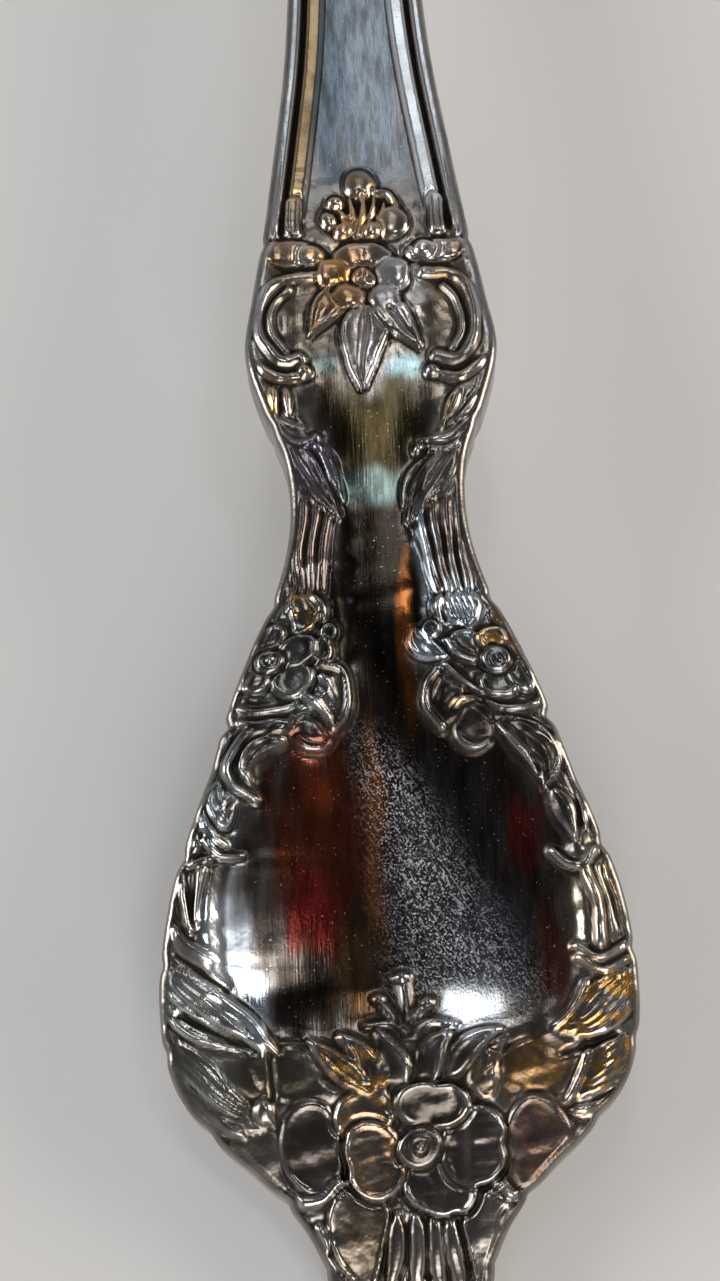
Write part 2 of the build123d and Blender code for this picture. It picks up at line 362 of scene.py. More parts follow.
def settle(first, last, outside, body, base, cut, tint):
    """Press one shape into the field: body inside it, and outside it a thin groove and a sloping wall.
    A shape over the dish follows it down by most of its depth."""
    base = base + FOLLOW * np.minimum(0, ground[first:last] - base)
    body = body + base
    inside = ease(outside, 0.05, -0.06)
    groove = cut * np.exp(-(((outside - 0.1) / 0.1) ** 2)) * (outside > 0)
    wall = base + 0.06 - DRAFT * np.maximum(outside, 0)
    around_it = np.maximum(Z[first:last] - groove, np.where(outside < 0.8, wall, -9))
    Z[first:last] = around_it * (1 - inside) + body * inside
    # A shape's tint is its share of that amber: tarnished plate and painted warm glint.
    gold_tint_and_glint[first:last] = gold_tint_and_glint[first:last] * (1 - inside) + tint * inside
    panel_mask[first:last] *= ease(outside, 0.05, 0.35)


def leaf(points, width, high, kind="round", base=0.2, cut=0.09, tint=0.0, form="leaf"):
    """Raise a leaf along a smooth line through its points, given as x, u, x, u and so on from base to tip.
    Each point of the face takes its height from its distance to the line over the half width there."""
    points = np.reshape(points, (-1, 2))
    line = through(np.linspace(0, 1, LINE_STEPS + 1), np.linspace(0, 1, len(points)), points)
    first = np.searchsorted(row_u, line[:, 1].min() - width - 1.0)
    last = np.searchsorted(row_u, line[:, 1].max() + width + 1.0)
    x, u = X[first:last] + sway_x[first:last], U[first:last] + sway_u[first:last]
    run = np.gradient(line, axis=0)
    run = run / np.linalg.norm(run, axis=1)[:, None]
    far = np.hypot(x[..., None] - line[:, 0], u[..., None] - line[:, 1])
    nearest = far.argmin(-1)
    dx, du = x - line[nearest, 0], u - line[nearest, 1]
    along = dx * run[nearest, 0] + du * run[nearest, 1]
    across = dx * run[nearest, 1] - du * run[nearest, 0]
    past = ((nearest == 0) & (along < 0)) | ((nearest == LINE_STEPS) & (along > 0))
    gap = np.where(past, far.min(-1), np.abs(across))
    t = nearest / LINE_STEPS
    edge = width * taper(t, form)
    outside = np.where(edge > 0.03, gap - edge, 9)
    r = np.minimum(gap / np.maximum(edge, 0.02), 1.1)
    swell = 0.6 + 0.4 * np.sin(np.pi * np.clip(t, 0.12, 0.8))
    body = DEPTH * high * spread(r, np.maximum(-outside, 0), np.sign(across), kind) * swell
    settle(first, last, outside, body, base, cut, tint)


def stalk(*shape, **finish):
    """Raise a stalk or scroll, a leaf of even width with blunt ends."""
    leaf(*shape, **finish, form="stalk")


def tail(*shape, **finish):
    """Raise a leaf that is widest at its base and narrows evenly."""
    leaf(*shape, **finish, form="tail")


def petal(x0, u0, rx, ru, high, kind="round", base=0.2, cut=0.09, turn=0.0, fold=None, tint=0.0):
    """Raise a petal, bud or lobe: an ellipse of half widths rx and ru, turned. A fold line points to the
    flower's eye, and the petal's far edge then has a small notch."""
    reach = max(rx, ru) + 1.0
    first, last = np.searchsorted(row_u, u0 - reach), np.searchsorted(row_u, u0 + reach)
    dx = X[first:last] + sway_x[first:last] - x0
    du = U[first:last] + sway_u[first:last] - u0
    c, s = math.cos(math.radians(turn)), math.sin(math.radians(turn))
    px, pu = (dx * c + du * s) / rx, (du * c - dx * s) / ru
    r = np.hypot(px, pu)
    crease = tilt = 0.0
    if fold is not None:
        fx, fu = math.cos(math.radians(fold)), math.sin(math.radians(fold))
        beside, behind = np.abs(dx * fu - du * fx), dx * fx + du * fu
        r = r * (1 + 0.16 * np.exp(-((beside / 0.4) ** 2)) * ease(behind, 0, -0.6 * min(rx, ru)))
        crease = 0.14 * np.exp(-((beside / 0.28) ** 2)) * ease(behind, -0.7 * max(rx, ru), 0.4)
        tilt = PETAL_TILT * behind
        veins = np.cos(2 * np.pi * (dx * fu - du * fx) / VEIN_STEP + 0.8 * behind)
        crease = crease + VEIN * ease(min(rx, ru), 0.9, 1.1) * veins
    outside = (r - 1) * min(rx, ru)
    body = DEPTH * high * (spread(np.minimum(r, 1.1), np.maximum(-outside, 0), 1, kind) - crease) - tilt
    settle(first, last, outside, body, base, cut, tint)


def cut_line(start, end, wide, deep):
    """Straight groove: a dip of Gaussian section about the line, tapering to nothing at both ends."""
    run = np.subtract(end, start)
    length = math.hypot(*run)
    t = ((X - start[0]) * run[0] + (U - start[1]) * run[1]) / length**2
    off = ((X - start[0]) * run[1] - (U - start[1]) * run[0]) / length
    narrow = wide * (0.3 + 0.7 * np.sin(np.pi * np.clip(t, 0, 1)))
    Z[...] -= deep * np.exp(-((off / narrow) ** 2)) * ease(t, 0, 0.12) * ease(t, 1, 0.9)


def rings(x0, u0, *circles):
    """Fine raised rings round a flower's eye: each a bump of Gaussian section at its radius."""
    rho = np.hypot(X - x0, U - u0)
    for radius, high, wide in circles:
        Z[...] += high * np.exp(-(((rho - radius) / wide) ** 2))


# Tip: broad leaves at both sides, petals behind, then the large flower with its bud and stamens.
petal(-7.0, 9.3, 1.5, 1.9, 0.22, "round", 0.05, 0.12, 35)
petal(8.0, 9.2, 1.4, 1.9, 0.22, "round", 0.05, 0.12, -35)
petal(-5.5, 13.1, 1.5, 1.2, 0.14, "round", 0.02, 0.1)
petal(6.6, 12.9, 1.6, 1.2, 0.16, "round", 0.02, 0.1, tint=0.5)
leaf((-11.9, 14.8, -10.4, 12.7, -8.7, 11.4, -6.2, 10.7), 1.35, 0.5, "lined")
leaf((-11.2, 12.6, -9.6, 11.0, -7.8, 10.2), 0.45, 0.32)
leaf((-12.0, 18.2, -10.3, 16.4, -8.7, 15.2, -6.7, 14.2), 1.3, 0.62, "lined")
leaf((-9.4, 17.0, -7.8, 15.8, -6.9, 14.8, -6.0, 14.0), 0.28, 0.5)
petal(-6.9, 11.3, 0.55, 0.6, 0.55, "round", 0.2)
leaf((11.6, 13.9, 9.9, 12.7, 8.2, 11.5), 1.1, 0.42, "lined", tint=0.9)
leaf((11.4, 11.9, 10.0, 10.8, 8.2, 10.9), 0.5, 0.35, tint=0.3)
stalk((9.1, 13.7, 8.8, 12.5, 8.2, 11.4), 0.16, 0.4, tint=0.4)
leaf((12.0, 17.4, 10.6, 16.0, 9.2, 15.0, 7.5, 14.6), 1.05, 0.6, "lined", tint=1.0)
tail((9.3, 16.6, 8.6, 15.6, 7.6, 14.7), 0.2, 0.45, tint=0.3)
petal(-4.6, 9.5, 1.6, 2.15, 0.42, "cup", 0.08)
petal(6.5, 9.3, 1.7, 2.3, 0.45, "cup", 0.08, tint=0.15)
petal(-1.9, 11.0, 1.5, 1.15, 0.42, "cup", 0.14, 0.18, 20, tint=0.5)
leaf((-1.0, 12.0, -1.8, 13.4, -3.3, 14.9), 0.62, 0.5, "vein", tint=1.0)
leaf((-1.9, 12.1, -3.2, 13.2, -4.7, 14.7), 0.62, 0.5, "vein", tint=0.8)
leaf((4.2, 11.3, 4.0, 12.8, 5.1, 14.4), 0.75, 0.5, "lined", tint=0.2)
leaf((2.3, 12.6, 3.3, 14.0, 5.0, 14.8), 0.62, 0.55, "vein")
stalk((-0.9, 16.3, -0.35, 15.6, 0.2, 14.6), 0.15, 0.3, base=0.0)
tail((0.2, 17.3, 0.4, 16.0, 0.5, 14.6), 0.26, 0.42, "vein", base=0.0)
stalk((1.35, 16.1, 0.95, 15.7, 0.7, 14.6), 0.15, 0.32, base=0.0)
stalk((-1.6, 15.15, -0.6, 15.2, 0.2, 14.8), 0.12, 0.25, base=0.0)
stalk((2.5, 15.2, 1.6, 15.35, 0.8, 14.8), 0.14, 0.28, base=0.0)
for bud_x, bud_u, bud_r in [
    (0.15, 17.5, 0.3), (-0.95, 16.5, 0.22), (1.42, 16.3, 0.27), (-1.7, 15.15, 0.13), (2.6, 15.2, 0.14),
]:
    petal(bud_x, bud_u, bud_r, bud_r, 0.45, base=0.02)
leaf((0.0, 12.3, -0.5, 13.4, -1.15, 15.0), 0.72, 0.55, "rolled")
leaf((1.1, 12.3, 1.5, 13.7, 2.5, 15.0), 0.7, 0.62, "rolled")
leaf((-2.1, 7.9, -2.5, 5.6, -2.0, 2.6), 1.5, 0.5, "cup")
leaf((3.6, 7.3, 4.0, 5.4, 3.2, 2.6), 1.4, 0.45, "cup")
for foot_x, lean in [(-0.6, -0.5), (0.35, -0.1), (1.2, 0.2), (1.95, 0.6)]:
    leaf((foot_x, 6.4, foot_x + 0.3 * lean, 4.4, foot_x + lean, 2.0), 0.42, 0.45)
leaf((0.6, 3.4, 0.6, 2.0, 0.6, 0.5), 1.3, 0.4, "vein")
petal(-4.3, 5.35, 0.45, 0.75, 0.45)
petal(5.0, 5.6, 0.45, 0.75, 0.45)
tail((-5.3, 7.0, -4.2, 7.2, -3.3, 7.95, -2.3, 7.8), 0.3, 0.5)
tail((6.2, 7.0, 5.2, 7.1, 4.4, 7.7, 3.6, 7.6), 0.3, 0.5)
petal(1.6, 7.45, 1.9, 1.35, 0.5, "cup", 0.16, 0.2, -12, fold=120)
petal(3.35, 9.3, 1.6, 1.85, 0.52, "cup", 0.18, 0.2, -8, fold=180)
petal(1.35, 11.35, 1.85, 1.15, 0.5, "cup", 0.18, 0.2, -6, fold=-105)
petal(-1.55, 8.85, 1.55, 1.85, 0.52, "cup", 0.18, 0.2, 8, fold=10, tint=0.3)
petal(0.72, 9.35, 1.0, 0.95, 0.36, "cup", 0.34, 0.24)
rings(0.72, 9.35, (0.5, 0.16, 0.09), (0.0, 0.26, 0.16))

for groove in [
    ((-11.4, 16.1), (-6.9, 14.0), 0.3, 0.4), ((-11.3, 19.0), (-8.3, 16.9), 0.16, 0.25),
    ((-6.6, 14.2), (-6.4, 11.6), 0.18, 0.25), ((-2.6, 14.6), (-1.4, 12.3), 0.13, 0.2),
    ((10.9, 14.3), (7.7, 13.4), 0.2, 0.3), ((-3.0, 10.6), (-3.1, 7.8), 0.14, 0.25),
]:
    cut_line(*groove)

# Left border of the broad part, from the tip up: ridges, stalks and three scrolled leaves.
for shift in (0.0, 0.62, 1.24):
    foot, middle = (-11.75 + 0.2 * shift, 20.9 - 0.4 * shift), (-10.9 + 0.35 * shift, 19.3)
    leaf(foot + middle + (-9.3 + 0.2 * shift, 18.1 + 0.3 * shift), 0.27, 0.42, base=0.1)
tail((-10.95, 23.0, -10.6, 21.4, -10.3, 19.9), 0.3, 0.5)
tail((-9.75, 22.9, -9.9, 21.6, -9.95, 20.2), 0.24, 0.45)
stalk((-11.0, 23.5, -10.3, 23.2, -9.4, 23.35), 0.2, 0.42)
petal(-10.25, 24.3, 0.42, 0.62, 0.5, turn=15)
leaf((-9.5, 29.2, -9.2, 28.0, -9.7, 26.6), 0.4, 0.35, "vein")
leaf((-9.3, 27.6, -9.95, 26.2, -9.4, 24.7, -8.3, 24.0), 0.42, 0.5)
leaf((-8.7, 27.3, -8.95, 26.2, -8.5, 25.3, -7.9, 26.2), 0.5, 0.45, "rolled")
tail((-9.6, 24.3, -8.9, 23.6, -7.8, 23.75), 0.24, 0.48)
leaf((-9.0, 30.1, -8.6, 29.6, -8.9, 28.4), 0.4, 0.35)
tail((-5.0, 30.0, -7.2, 29.7, -8.25, 28.3, -8.0, 27.1, -6.8, 26.4), 0.4, 0.52)
leaf((-5.2, 29.3, -6.7, 28.9, -7.35, 27.9, -7.0, 27.1), 0.4, 0.48, "rolled")
leaf((-6.0, 29.6, -7.2, 29.0, -7.7, 27.9), 0.13, 0.5)
petal(-4.05, 29.7, 1.0, 0.72, 0.3, "round", 0.12, turn=8)
leaf((-4.95, 29.6, -4.4, 29.05, -3.6, 29.0, -3.0, 29.4), 0.2, 0.42, base=0.12)

# Right border: a long leaf, an oval leaf held in a small cup, a stalk and a scalloped band.
leaf((8.6, 29.0, 9.3, 27.4, 9.95, 25.2), 0.3, 0.35)
leaf((5.4, 30.1, 7.2, 29.0, 8.1, 27.6, 7.9, 26.1), 0.85, 0.5, "cup")
leaf((5.4, 29.9, 6.5, 28.5, 7.7, 26.7), 0.2, 0.62)
leaf((8.2, 26.2, 8.9, 25.0, 9.3, 23.7), 0.62, 0.62)
leaf((9.3, 27.4, 9.9, 25.8, 9.9, 24.2), 0.3, 0.42)
stalk((8.1, 23.3, 8.7, 22.65, 9.5, 22.5, 10.2, 23.2), 0.24, 0.52)
stalk((9.6, 22.2, 10.0, 20.6, 10.2, 18.5), 0.3, 0.55, tint=0.3)
leaf((10.8, 22.6, 11.2, 21.0, 11.4, 19.0), 0.4, 0.4, "vein", tint=0.5)
stalk((9.0, 18.5, 10.1, 17.85, 11.5, 18.5), 0.2, 0.5, tint=0.3)
stalk((9.1, 17.9, 10.2, 17.3, 11.7, 17.9), 0.17, 0.42, tint=0.6)
petal(4.35, 29.75, 1.0, 0.95, 0.34, "round", 0.12, turn=-10)
leaf((3.45, 29.7, 3.8, 29.1, 4.5, 28.8, 5.3, 29.1), 0.26, 0.45, base=0.12)

# Side flowers: petals round an eye at each side of the neck of the broad part, with a hooked leaf below.
leaf((-8.2, 31.4, -6.9, 30.85, -5.2, 30.9, -4.2, 31.6), 0.16, 0.3)
leaf((-8.3, 30.4, -7.0, 30.15, -5.6, 30.2, -4.7, 29.95), 0.22, 0.42)
leaf((8.0, 30.9, 7.0, 30.6, 5.8, 30.65, 4.9, 31.1), 0.2, 0.35)
petal(-2.75, 31.5, 0.85, 1.55, 0.36, "lined", 0.12, turn=8)
stalk((-3.5, 33.1, -2.3, 32.9, -1.9, 31.7, -2.1, 30.7, -2.8, 29.95), 0.17, 0.5)
stalk((-4.5, 31.7, -3.6, 31.2, -3.1, 30.7, -2.8, 30.0), 0.2, 0.55)
leaf((-3.5, 32.6, -3.0, 32.2, -2.4, 31.2), 0.2, 0.5)
petal(2.9, 31.4, 1.0, 1.6, 0.34, "cup", 0.12, turn=-8)
stalk((3.1, 32.95, 2.1, 32.2, 1.95, 31.0, 2.3, 30.3, 2.85, 29.7), 0.19, 0.52)
stalk((3.1, 32.9, 3.6, 32.3, 4.1, 31.8, 4.9, 31.4), 0.17, 0.55)
leaf((2.35, 31.0, 2.7, 31.8, 3.3, 32.5), 0.16, 0.42)
leaf((3.05, 30.5, 3.6, 30.95, 4.7, 31.2), 0.17, 0.42, tint=0.7)
petal(-6.9, 32.6, 1.0, 0.8, 0.4, "cup", turn=-18, fold=60)
petal(-4.75, 32.35, 1.1, 0.95, 0.44, "cup", turn=25, fold=130)
petal(5.85, 31.85, 1.1, 0.75, 0.42, "cup", turn=-4, fold=90)
petal(7.1, 32.5, 0.75, 1.15, 0.4, "cup", turn=22, fold=170)
petal(7.0, 33.9, 0.5, 0.9, 0.34, "cup", turn=25, tint=0.4)
petal(-6.95, 34.1, 0.5, 0.8, 0.34, "cup", turn=-15, tint=0.7)
leaf((-4.6, 37.4, -4.1, 36.2, -4.6, 34.9), 0.95, 0.52, "cup", tint=0.6)
leaf((-3.9, 37.3, -3.2, 36.3, -3.2, 35.3), 0.26, 0.55)
leaf((3.6, 37.2, 4.2, 36.0, 4.6, 34.7), 0.95, 0.58, "lined")
leaf((3.1, 36.9, 2.9, 36.2, 3.2, 35.2), 0.24, 0.5)
leaf((5.6, 35.9, 6.3, 35.2, 6.7, 34.3), 0.42, 0.4, tint=0.4)
leaf((1.55, 35.2, 2.1, 34.0, 3.4, 33.2), 0.62, 0.5, "cup")
petal(2.55, 35.0, 0.52, 0.5, 0.42, "cup")
petal(-2.95, 34.85, 0.48, 0.5, 0.45, "cup")
petal(-5.95, 34.85, 0.8, 0.62, 0.42, "cup", turn=25, fold=-80)
petal(-3.3, 33.9, 0.55, 0.75, 0.4, "cup", turn=15)
petal(-4.5, 34.0, 1.15, 0.85, 0.46, "cup", turn=12, fold=190)
petal(4.35, 33.85, 1.2, 0.85, 0.46, "cup", turn=-22, fold=-20)
petal(5.7, 34.25, 0.8, 0.62, 0.42, "cup", turn=8, fold=-85, tint=0.8)
stalk((3.3, 34.3, 3.75, 33.5, 4.7, 33.05), 0.15, 0.5)
petal(-5.95, 33.5, 0.72, 0.62, 0.34, "cup", 0.34, 0.22)
rings(-5.95, 33.5, (0.0, 0.22, 0.16))
petal(5.85, 33.05, 0.74, 0.66, 0.34, "cup", 0.34, 0.22)
rings(5.85, 33.05, (0.36, 0.12, 0.08), (0.0, 0.2, 0.12))

# Waist: bundles of stalks run up from the side flowers into pointed leaves and small scrolls.
for low, high in [(-4.55, -4.72), (-4.15, -4.05), (-3.65, -3.35), (-3.15, -2.7)]:
    stalk((low, 37.4, 0.5 * (low + high) - 0.1, 39.4, high, 42.4), 0.24, 0.42, base=0.06)
for low, high in [(4.5, 4.4), (3.9, 3.8), (3.45, 3.0), (2.95, 2.2)]:
    stalk((low, 37.1, 0.5 * (low + high) - 0.15, 39.2, high, 42.0), 0.24, 0.42, base=0.06)
leaf((-3.0, 46.0, -2.35, 44.0, -1.95, 42.3), 0.36, 0.42, "rolled", base=0.06)
leaf((-4.5, 45.6, -3.7, 43.7, -2.15, 41.3), 0.95, 0.5, "vein", base=0.08)
leaf((3.0, 45.0, 1.95, 43.7, 1.45, 41.9), 0.36, 0.42, "rolled", base=0.06)
leaf((4.2, 45.2, 2.9, 43.2, 1.45, 40.8), 0.92, 0.5, "vein", base=0.08)
tail((-5.6, 47.6, -4.4, 46.9, -3.4, 46.7), 0.2, 0.38, base=0.06)
stalk((-5.4, 46.7, -4.4, 45.9, -3.5, 45.75, -3.1, 46.2), 0.28, 0.45, base=0.06)
stalk((5.5, 46.9, 4.2, 46.0, 3.2, 45.75, 2.3, 45.75), 0.28, 0.45, base=0.06)
stalk((5.1, 46.2, 4.0, 45.3, 2.9, 45.1), 0.18, 0.38, base=0.06)
petal(-3.0, 45.45, 0.26, 0.24, 0.5, base=0.06)
petal(2.2, 45.35, 0.27, 0.25, 0.5, base=0.06)
leaf((-5.6, 49.3, -5.55, 48.4, -5.3, 47.2), 0.36, 0.42, tint=0.8)
leaf((-4.9, 49.3, -4.7, 48.4, -4.6, 47.5), 0.26, 0.38, tint=0.3)
leaf((6.1, 48.7, 5.5, 47.6, 4.4, 46.8), 0.36, 0.42, "rolled")
leaf((4.8, 48.9, 4.3, 47.8, 3.8, 46.9), 0.32, 0.36, "rolled", tint=0.3)

# Second bulge: side lobes, C scrolls, a crown of stamens, then the flower and its pointed leaves.
stalk((-3.0, 56.5, -5.0, 56.3, -6.15, 54.6, -6.05, 52.4, -5.1, 51.0, -3.9, 51.1), 0.34, 0.5)
stalk((-4.6, 55.7, -5.35, 54.6, -5.4, 52.8, -4.7, 51.5), 0.2, 0.4)
stalk((3.3, 56.6, 4.9, 56.2, 5.8, 54.5, 5.75, 52.3, 4.8, 50.9, 3.6, 51.0), 0.34, 0.5)
stalk((4.3, 55.6, 5.05, 54.4, 5.1, 52.7, 4.5, 51.4), 0.2, 0.4)
stalk((-6.6, 50.8, -5.3, 49.9, -3.9, 50.1), 0.3, 0.46, tint=0.4)
stalk((6.2, 50.6, 4.9, 49.7, 3.6, 50.0), 0.3, 0.46, tint=0.3)
petal(-3.75, 50.35, 0.42, 0.4, 0.55, tint=0.5)
petal(3.4, 50.1, 0.4, 0.38, 0.55)
leaf((-6.2, 59.4, -6.3, 58.2, -5.8, 57.2), 0.34, 0.42)
leaf((5.7, 59.4, 5.9, 58.2, 5.4, 57.2), 0.34, 0.42, tint=0.7)
petal(-4.15, 58.2, 1.75, 0.85, 0.45, "round", 0.06, 0.26, -4, tint=0.45)
petal(4.0, 58.1, 1.55, 0.8, 0.45, "round", 0.06, 0.26, 4, tint=0.3)
petal(-3.1, 57.95, 0.75, 0.75, 0.55, "round", 0.1, 0.12, tint=0.9)
petal(3.3, 58.2, 0.6, 0.62, 0.55, "round", 0.1, 0.12)
petal(-0.2, 62.9, 0.95, 1.1, 0.5, "round", 0.1, tint=0.35)
for end_x, end_u in [(-1.55, 61.2), (-0.95, 62.0), (-0.2, 62.4), (0.5, 62.1), (1.15, 61.6)]:
    leaf((-0.1 + 0.25 * end_x, 58.9, 0.75 * end_x, 60.4, end_x, end_u), 0.3, 0.5, base=0.14, tint=0.8)
stalk((0.6, 62.3, 1.4, 62.0, 1.8, 61.2), 0.22, 0.5, tint=0.6)
petal(-1.75, 61.6, 0.5, 0.48, 0.55, tint=0.6)
petal(-2.1, 60.4, 0.45, 0.65, 0.5, turn=20, tint=0.3)
petal(1.45, 60.0, 0.95, 1.15, 0.58, turn=-8)
petal(-1.2, 59.6, 0.55, 0.6, 0.5, tint=0.7)
petal(0.35, 59.5, 0.45, 0.6, 0.5, tint=0.3)
leaf((-0.9, 55.2, -2.2, 54.6, -3.3, 52.4), 0.95, 0.5, "cup", tint=0.5)
leaf((-0.2, 54.6, -0.35, 52.4, -0.6, 49.0), 1.3, 0.55, "vein")
leaf((0.5, 55.3, 1.4, 53.6, 2.75, 51.4), 0.9, 0.6, "vein")
petal(-0.2, 57.7, 1.65, 0.95, 0.5, fold=-90)
petal(-1.95, 56.55, 1.0, 1.15, 0.52, turn=20, fold=-10, tint=1.0)
petal(1.5, 56.45, 1.0, 1.2, 0.56, turn=-20, fold=190)
petal(-1.2, 55.05, 0.9, 0.85, 0.5, turn=10, fold=60, tint=0.4)
petal(0.9, 55.0, 0.9, 0.85, 0.54, turn=-10, fold=120)
petal(-0.2, 56.3, 0.6, 0.55, 0.34, "round", 0.34, 0.2)
for bud_x, bud_u in [(-0.45, 56.45), (0.05, 56.45), (-0.2, 56.1)]:
    petal(bud_x, bud_u, 0.2, 0.18, 0.2, "round", 0.62, 0.08)


def lay_shank():
    """Shank border: a rail at the edge, a groove, and a ridge inside it, beaded near its top at the left.
    Each is exp of minus a power of the distance from its place: a power of 4 or 6 gives it a flat top."""
    on = ease(U, 58.9, 60.2) * ease(U, 96, 88)
    rail = 0.26 * np.exp(-(((inset - 0.52) / 0.38) ** 4))
    groove = -0.28 * np.exp(-(((inset - 1.05) / 0.13) ** 2))
    beads = 1 + 0.14 * np.sin(2 * np.pi * U / 0.8) * ease(X, 1, -1) * ease(U, 65, 63)
    inner_ridge = 0.17 * np.exp(-(((inset - 1.68) / 0.5) ** 6)) * beads
    field = -0.08 * ease(inset, 2.0, 2.4) * ease(U, 58, 62)
    rim = 0.2 * np.exp(-(((inset - 0.5) / 0.3) ** 2)) * ease(U, 37, 39) * ease(U, 60, 58) * ease(Z, 0.2, 0.0)
    return (rail + groove + inner_ridge + field) * on + rim


Z += lay_shank() * (1 - ease(Z, 0.15, 0.35) * ease(U, 64.2, 63.6))
panel_mask = np.maximum(panel_mask, ease(inset, 2.1, 2.4) * ease(U, 63.5, 64.5))
# Amber along the shank's left ridge and on the second bulge's lobes: tarnished plate and painted warm glint.
gold_tint_and_glint = np.maximum(gold_tint_and_glint, 0.35 * np.exp(-(((inset - 1.55) / 0.3) ** 2)) * ease(U, 59, 61) * ease(X, 1, -1))
gold_tint_and_glint = np.maximum(gold_tint_and_glint, 0.7 * np.exp(-(((X + 4.6) / 1.3) ** 2) - ((U - 57.6) / 1.2) ** 2))
gold_tint_and_glint = np.maximum(gold_tint_and_glint, 0.6 * np.exp(-(((X - 4.6) / 0.9) ** 2) - ((U - 56.4) / 1.6) ** 2))
for hand in (-1, 1):
    stalk((hand * 4.15, 61.6, hand * 4.1, 60.4, hand * 4.1, 59.7), 0.42, 0.42, "cup", cut=0.14)

# The struck metal is never quite flat: low swells between the dies' cuts, a sum of waves with set directions,
# much weaker in the panel and on the shank.
waves = np.random.default_rng(7)
loose = (1 - 0.93 * panel_mask) * (0.5 + 0.5 * ease(U, 11, 15)) * ease(U, 66, 58) * ease(inset, 0.1, 1.2)
for length in (0.7, 0.9, 1.1, 1.4, 1.7, 2.1, 2.6, 3.2):
    direction, phase = waves.uniform(0, 2 * math.pi, 2)
    wave = np.sin(2 * math.pi * (X * math.cos(direction) + U * math.sin(direction)) / length + phase)
    Z += SWELL * length * wave * loose


def blur(field, times):
    """Mean of each point and its four neighbours on the grid, repeated."""
    for _ in range(times):
        wide = np.pad(field, 1, mode="edge")
        field = (wide[1:-1, 1:-1] * 2 + wide[:-2, 1:-1] + wide[2:, 1:-1] + wide[1:-1, :-2] + wide[1:-1, 2:]) / 6
    return field


Z = blur(Z, 1)
smooth_panel = blur(Z * panel_mask, 12) / np.maximum(blur(panel_mask, 12), 0.01)
Z += (smooth_panel - Z) * panel_mask**2
proud = np.clip(0.5 + (Z - blur(Z, 14)) / 0.22, 0, 1)

# Painted highlights: spots where the plate is kept bright and free of grime, each x, u, half width, half
# length.
highlight_spots = np.zeros_like(Z)
for spot_x, spot_u, wide, long in [
    (-8.7, 19.2, 1.5, 3.4), (-7.3, 15.9, 1.1, 2.2), (3.5, 15.7, 2.0, 1.6), (-9.8, 16.8, 2.2, 1.5),
    (-9.6, 12.9, 2.2, 1.2), (0, 57, 3.4, 3.0), (4.6, 72, 1.6, 12),
]:
    highlight_spots = np.maximum(highlight_spots, ease(np.hypot((X - spot_x) / wide, (U - spot_u) / long), 1.3, 0.5))

# Scuffs in the middle of the panel, where the plate is covered in short scratches.
scuff_line, scuff_half = 1.1 - 0.34 * (U - 24), 1.3 + 0.24 * (31 - U)
scuffed = ease(np.abs(X - scuff_line) / scuff_half, 1.2, 0.1) * panel_mask
scuffed *= ease(U, 31.5, 27.5) * ease(U, 13, 18)
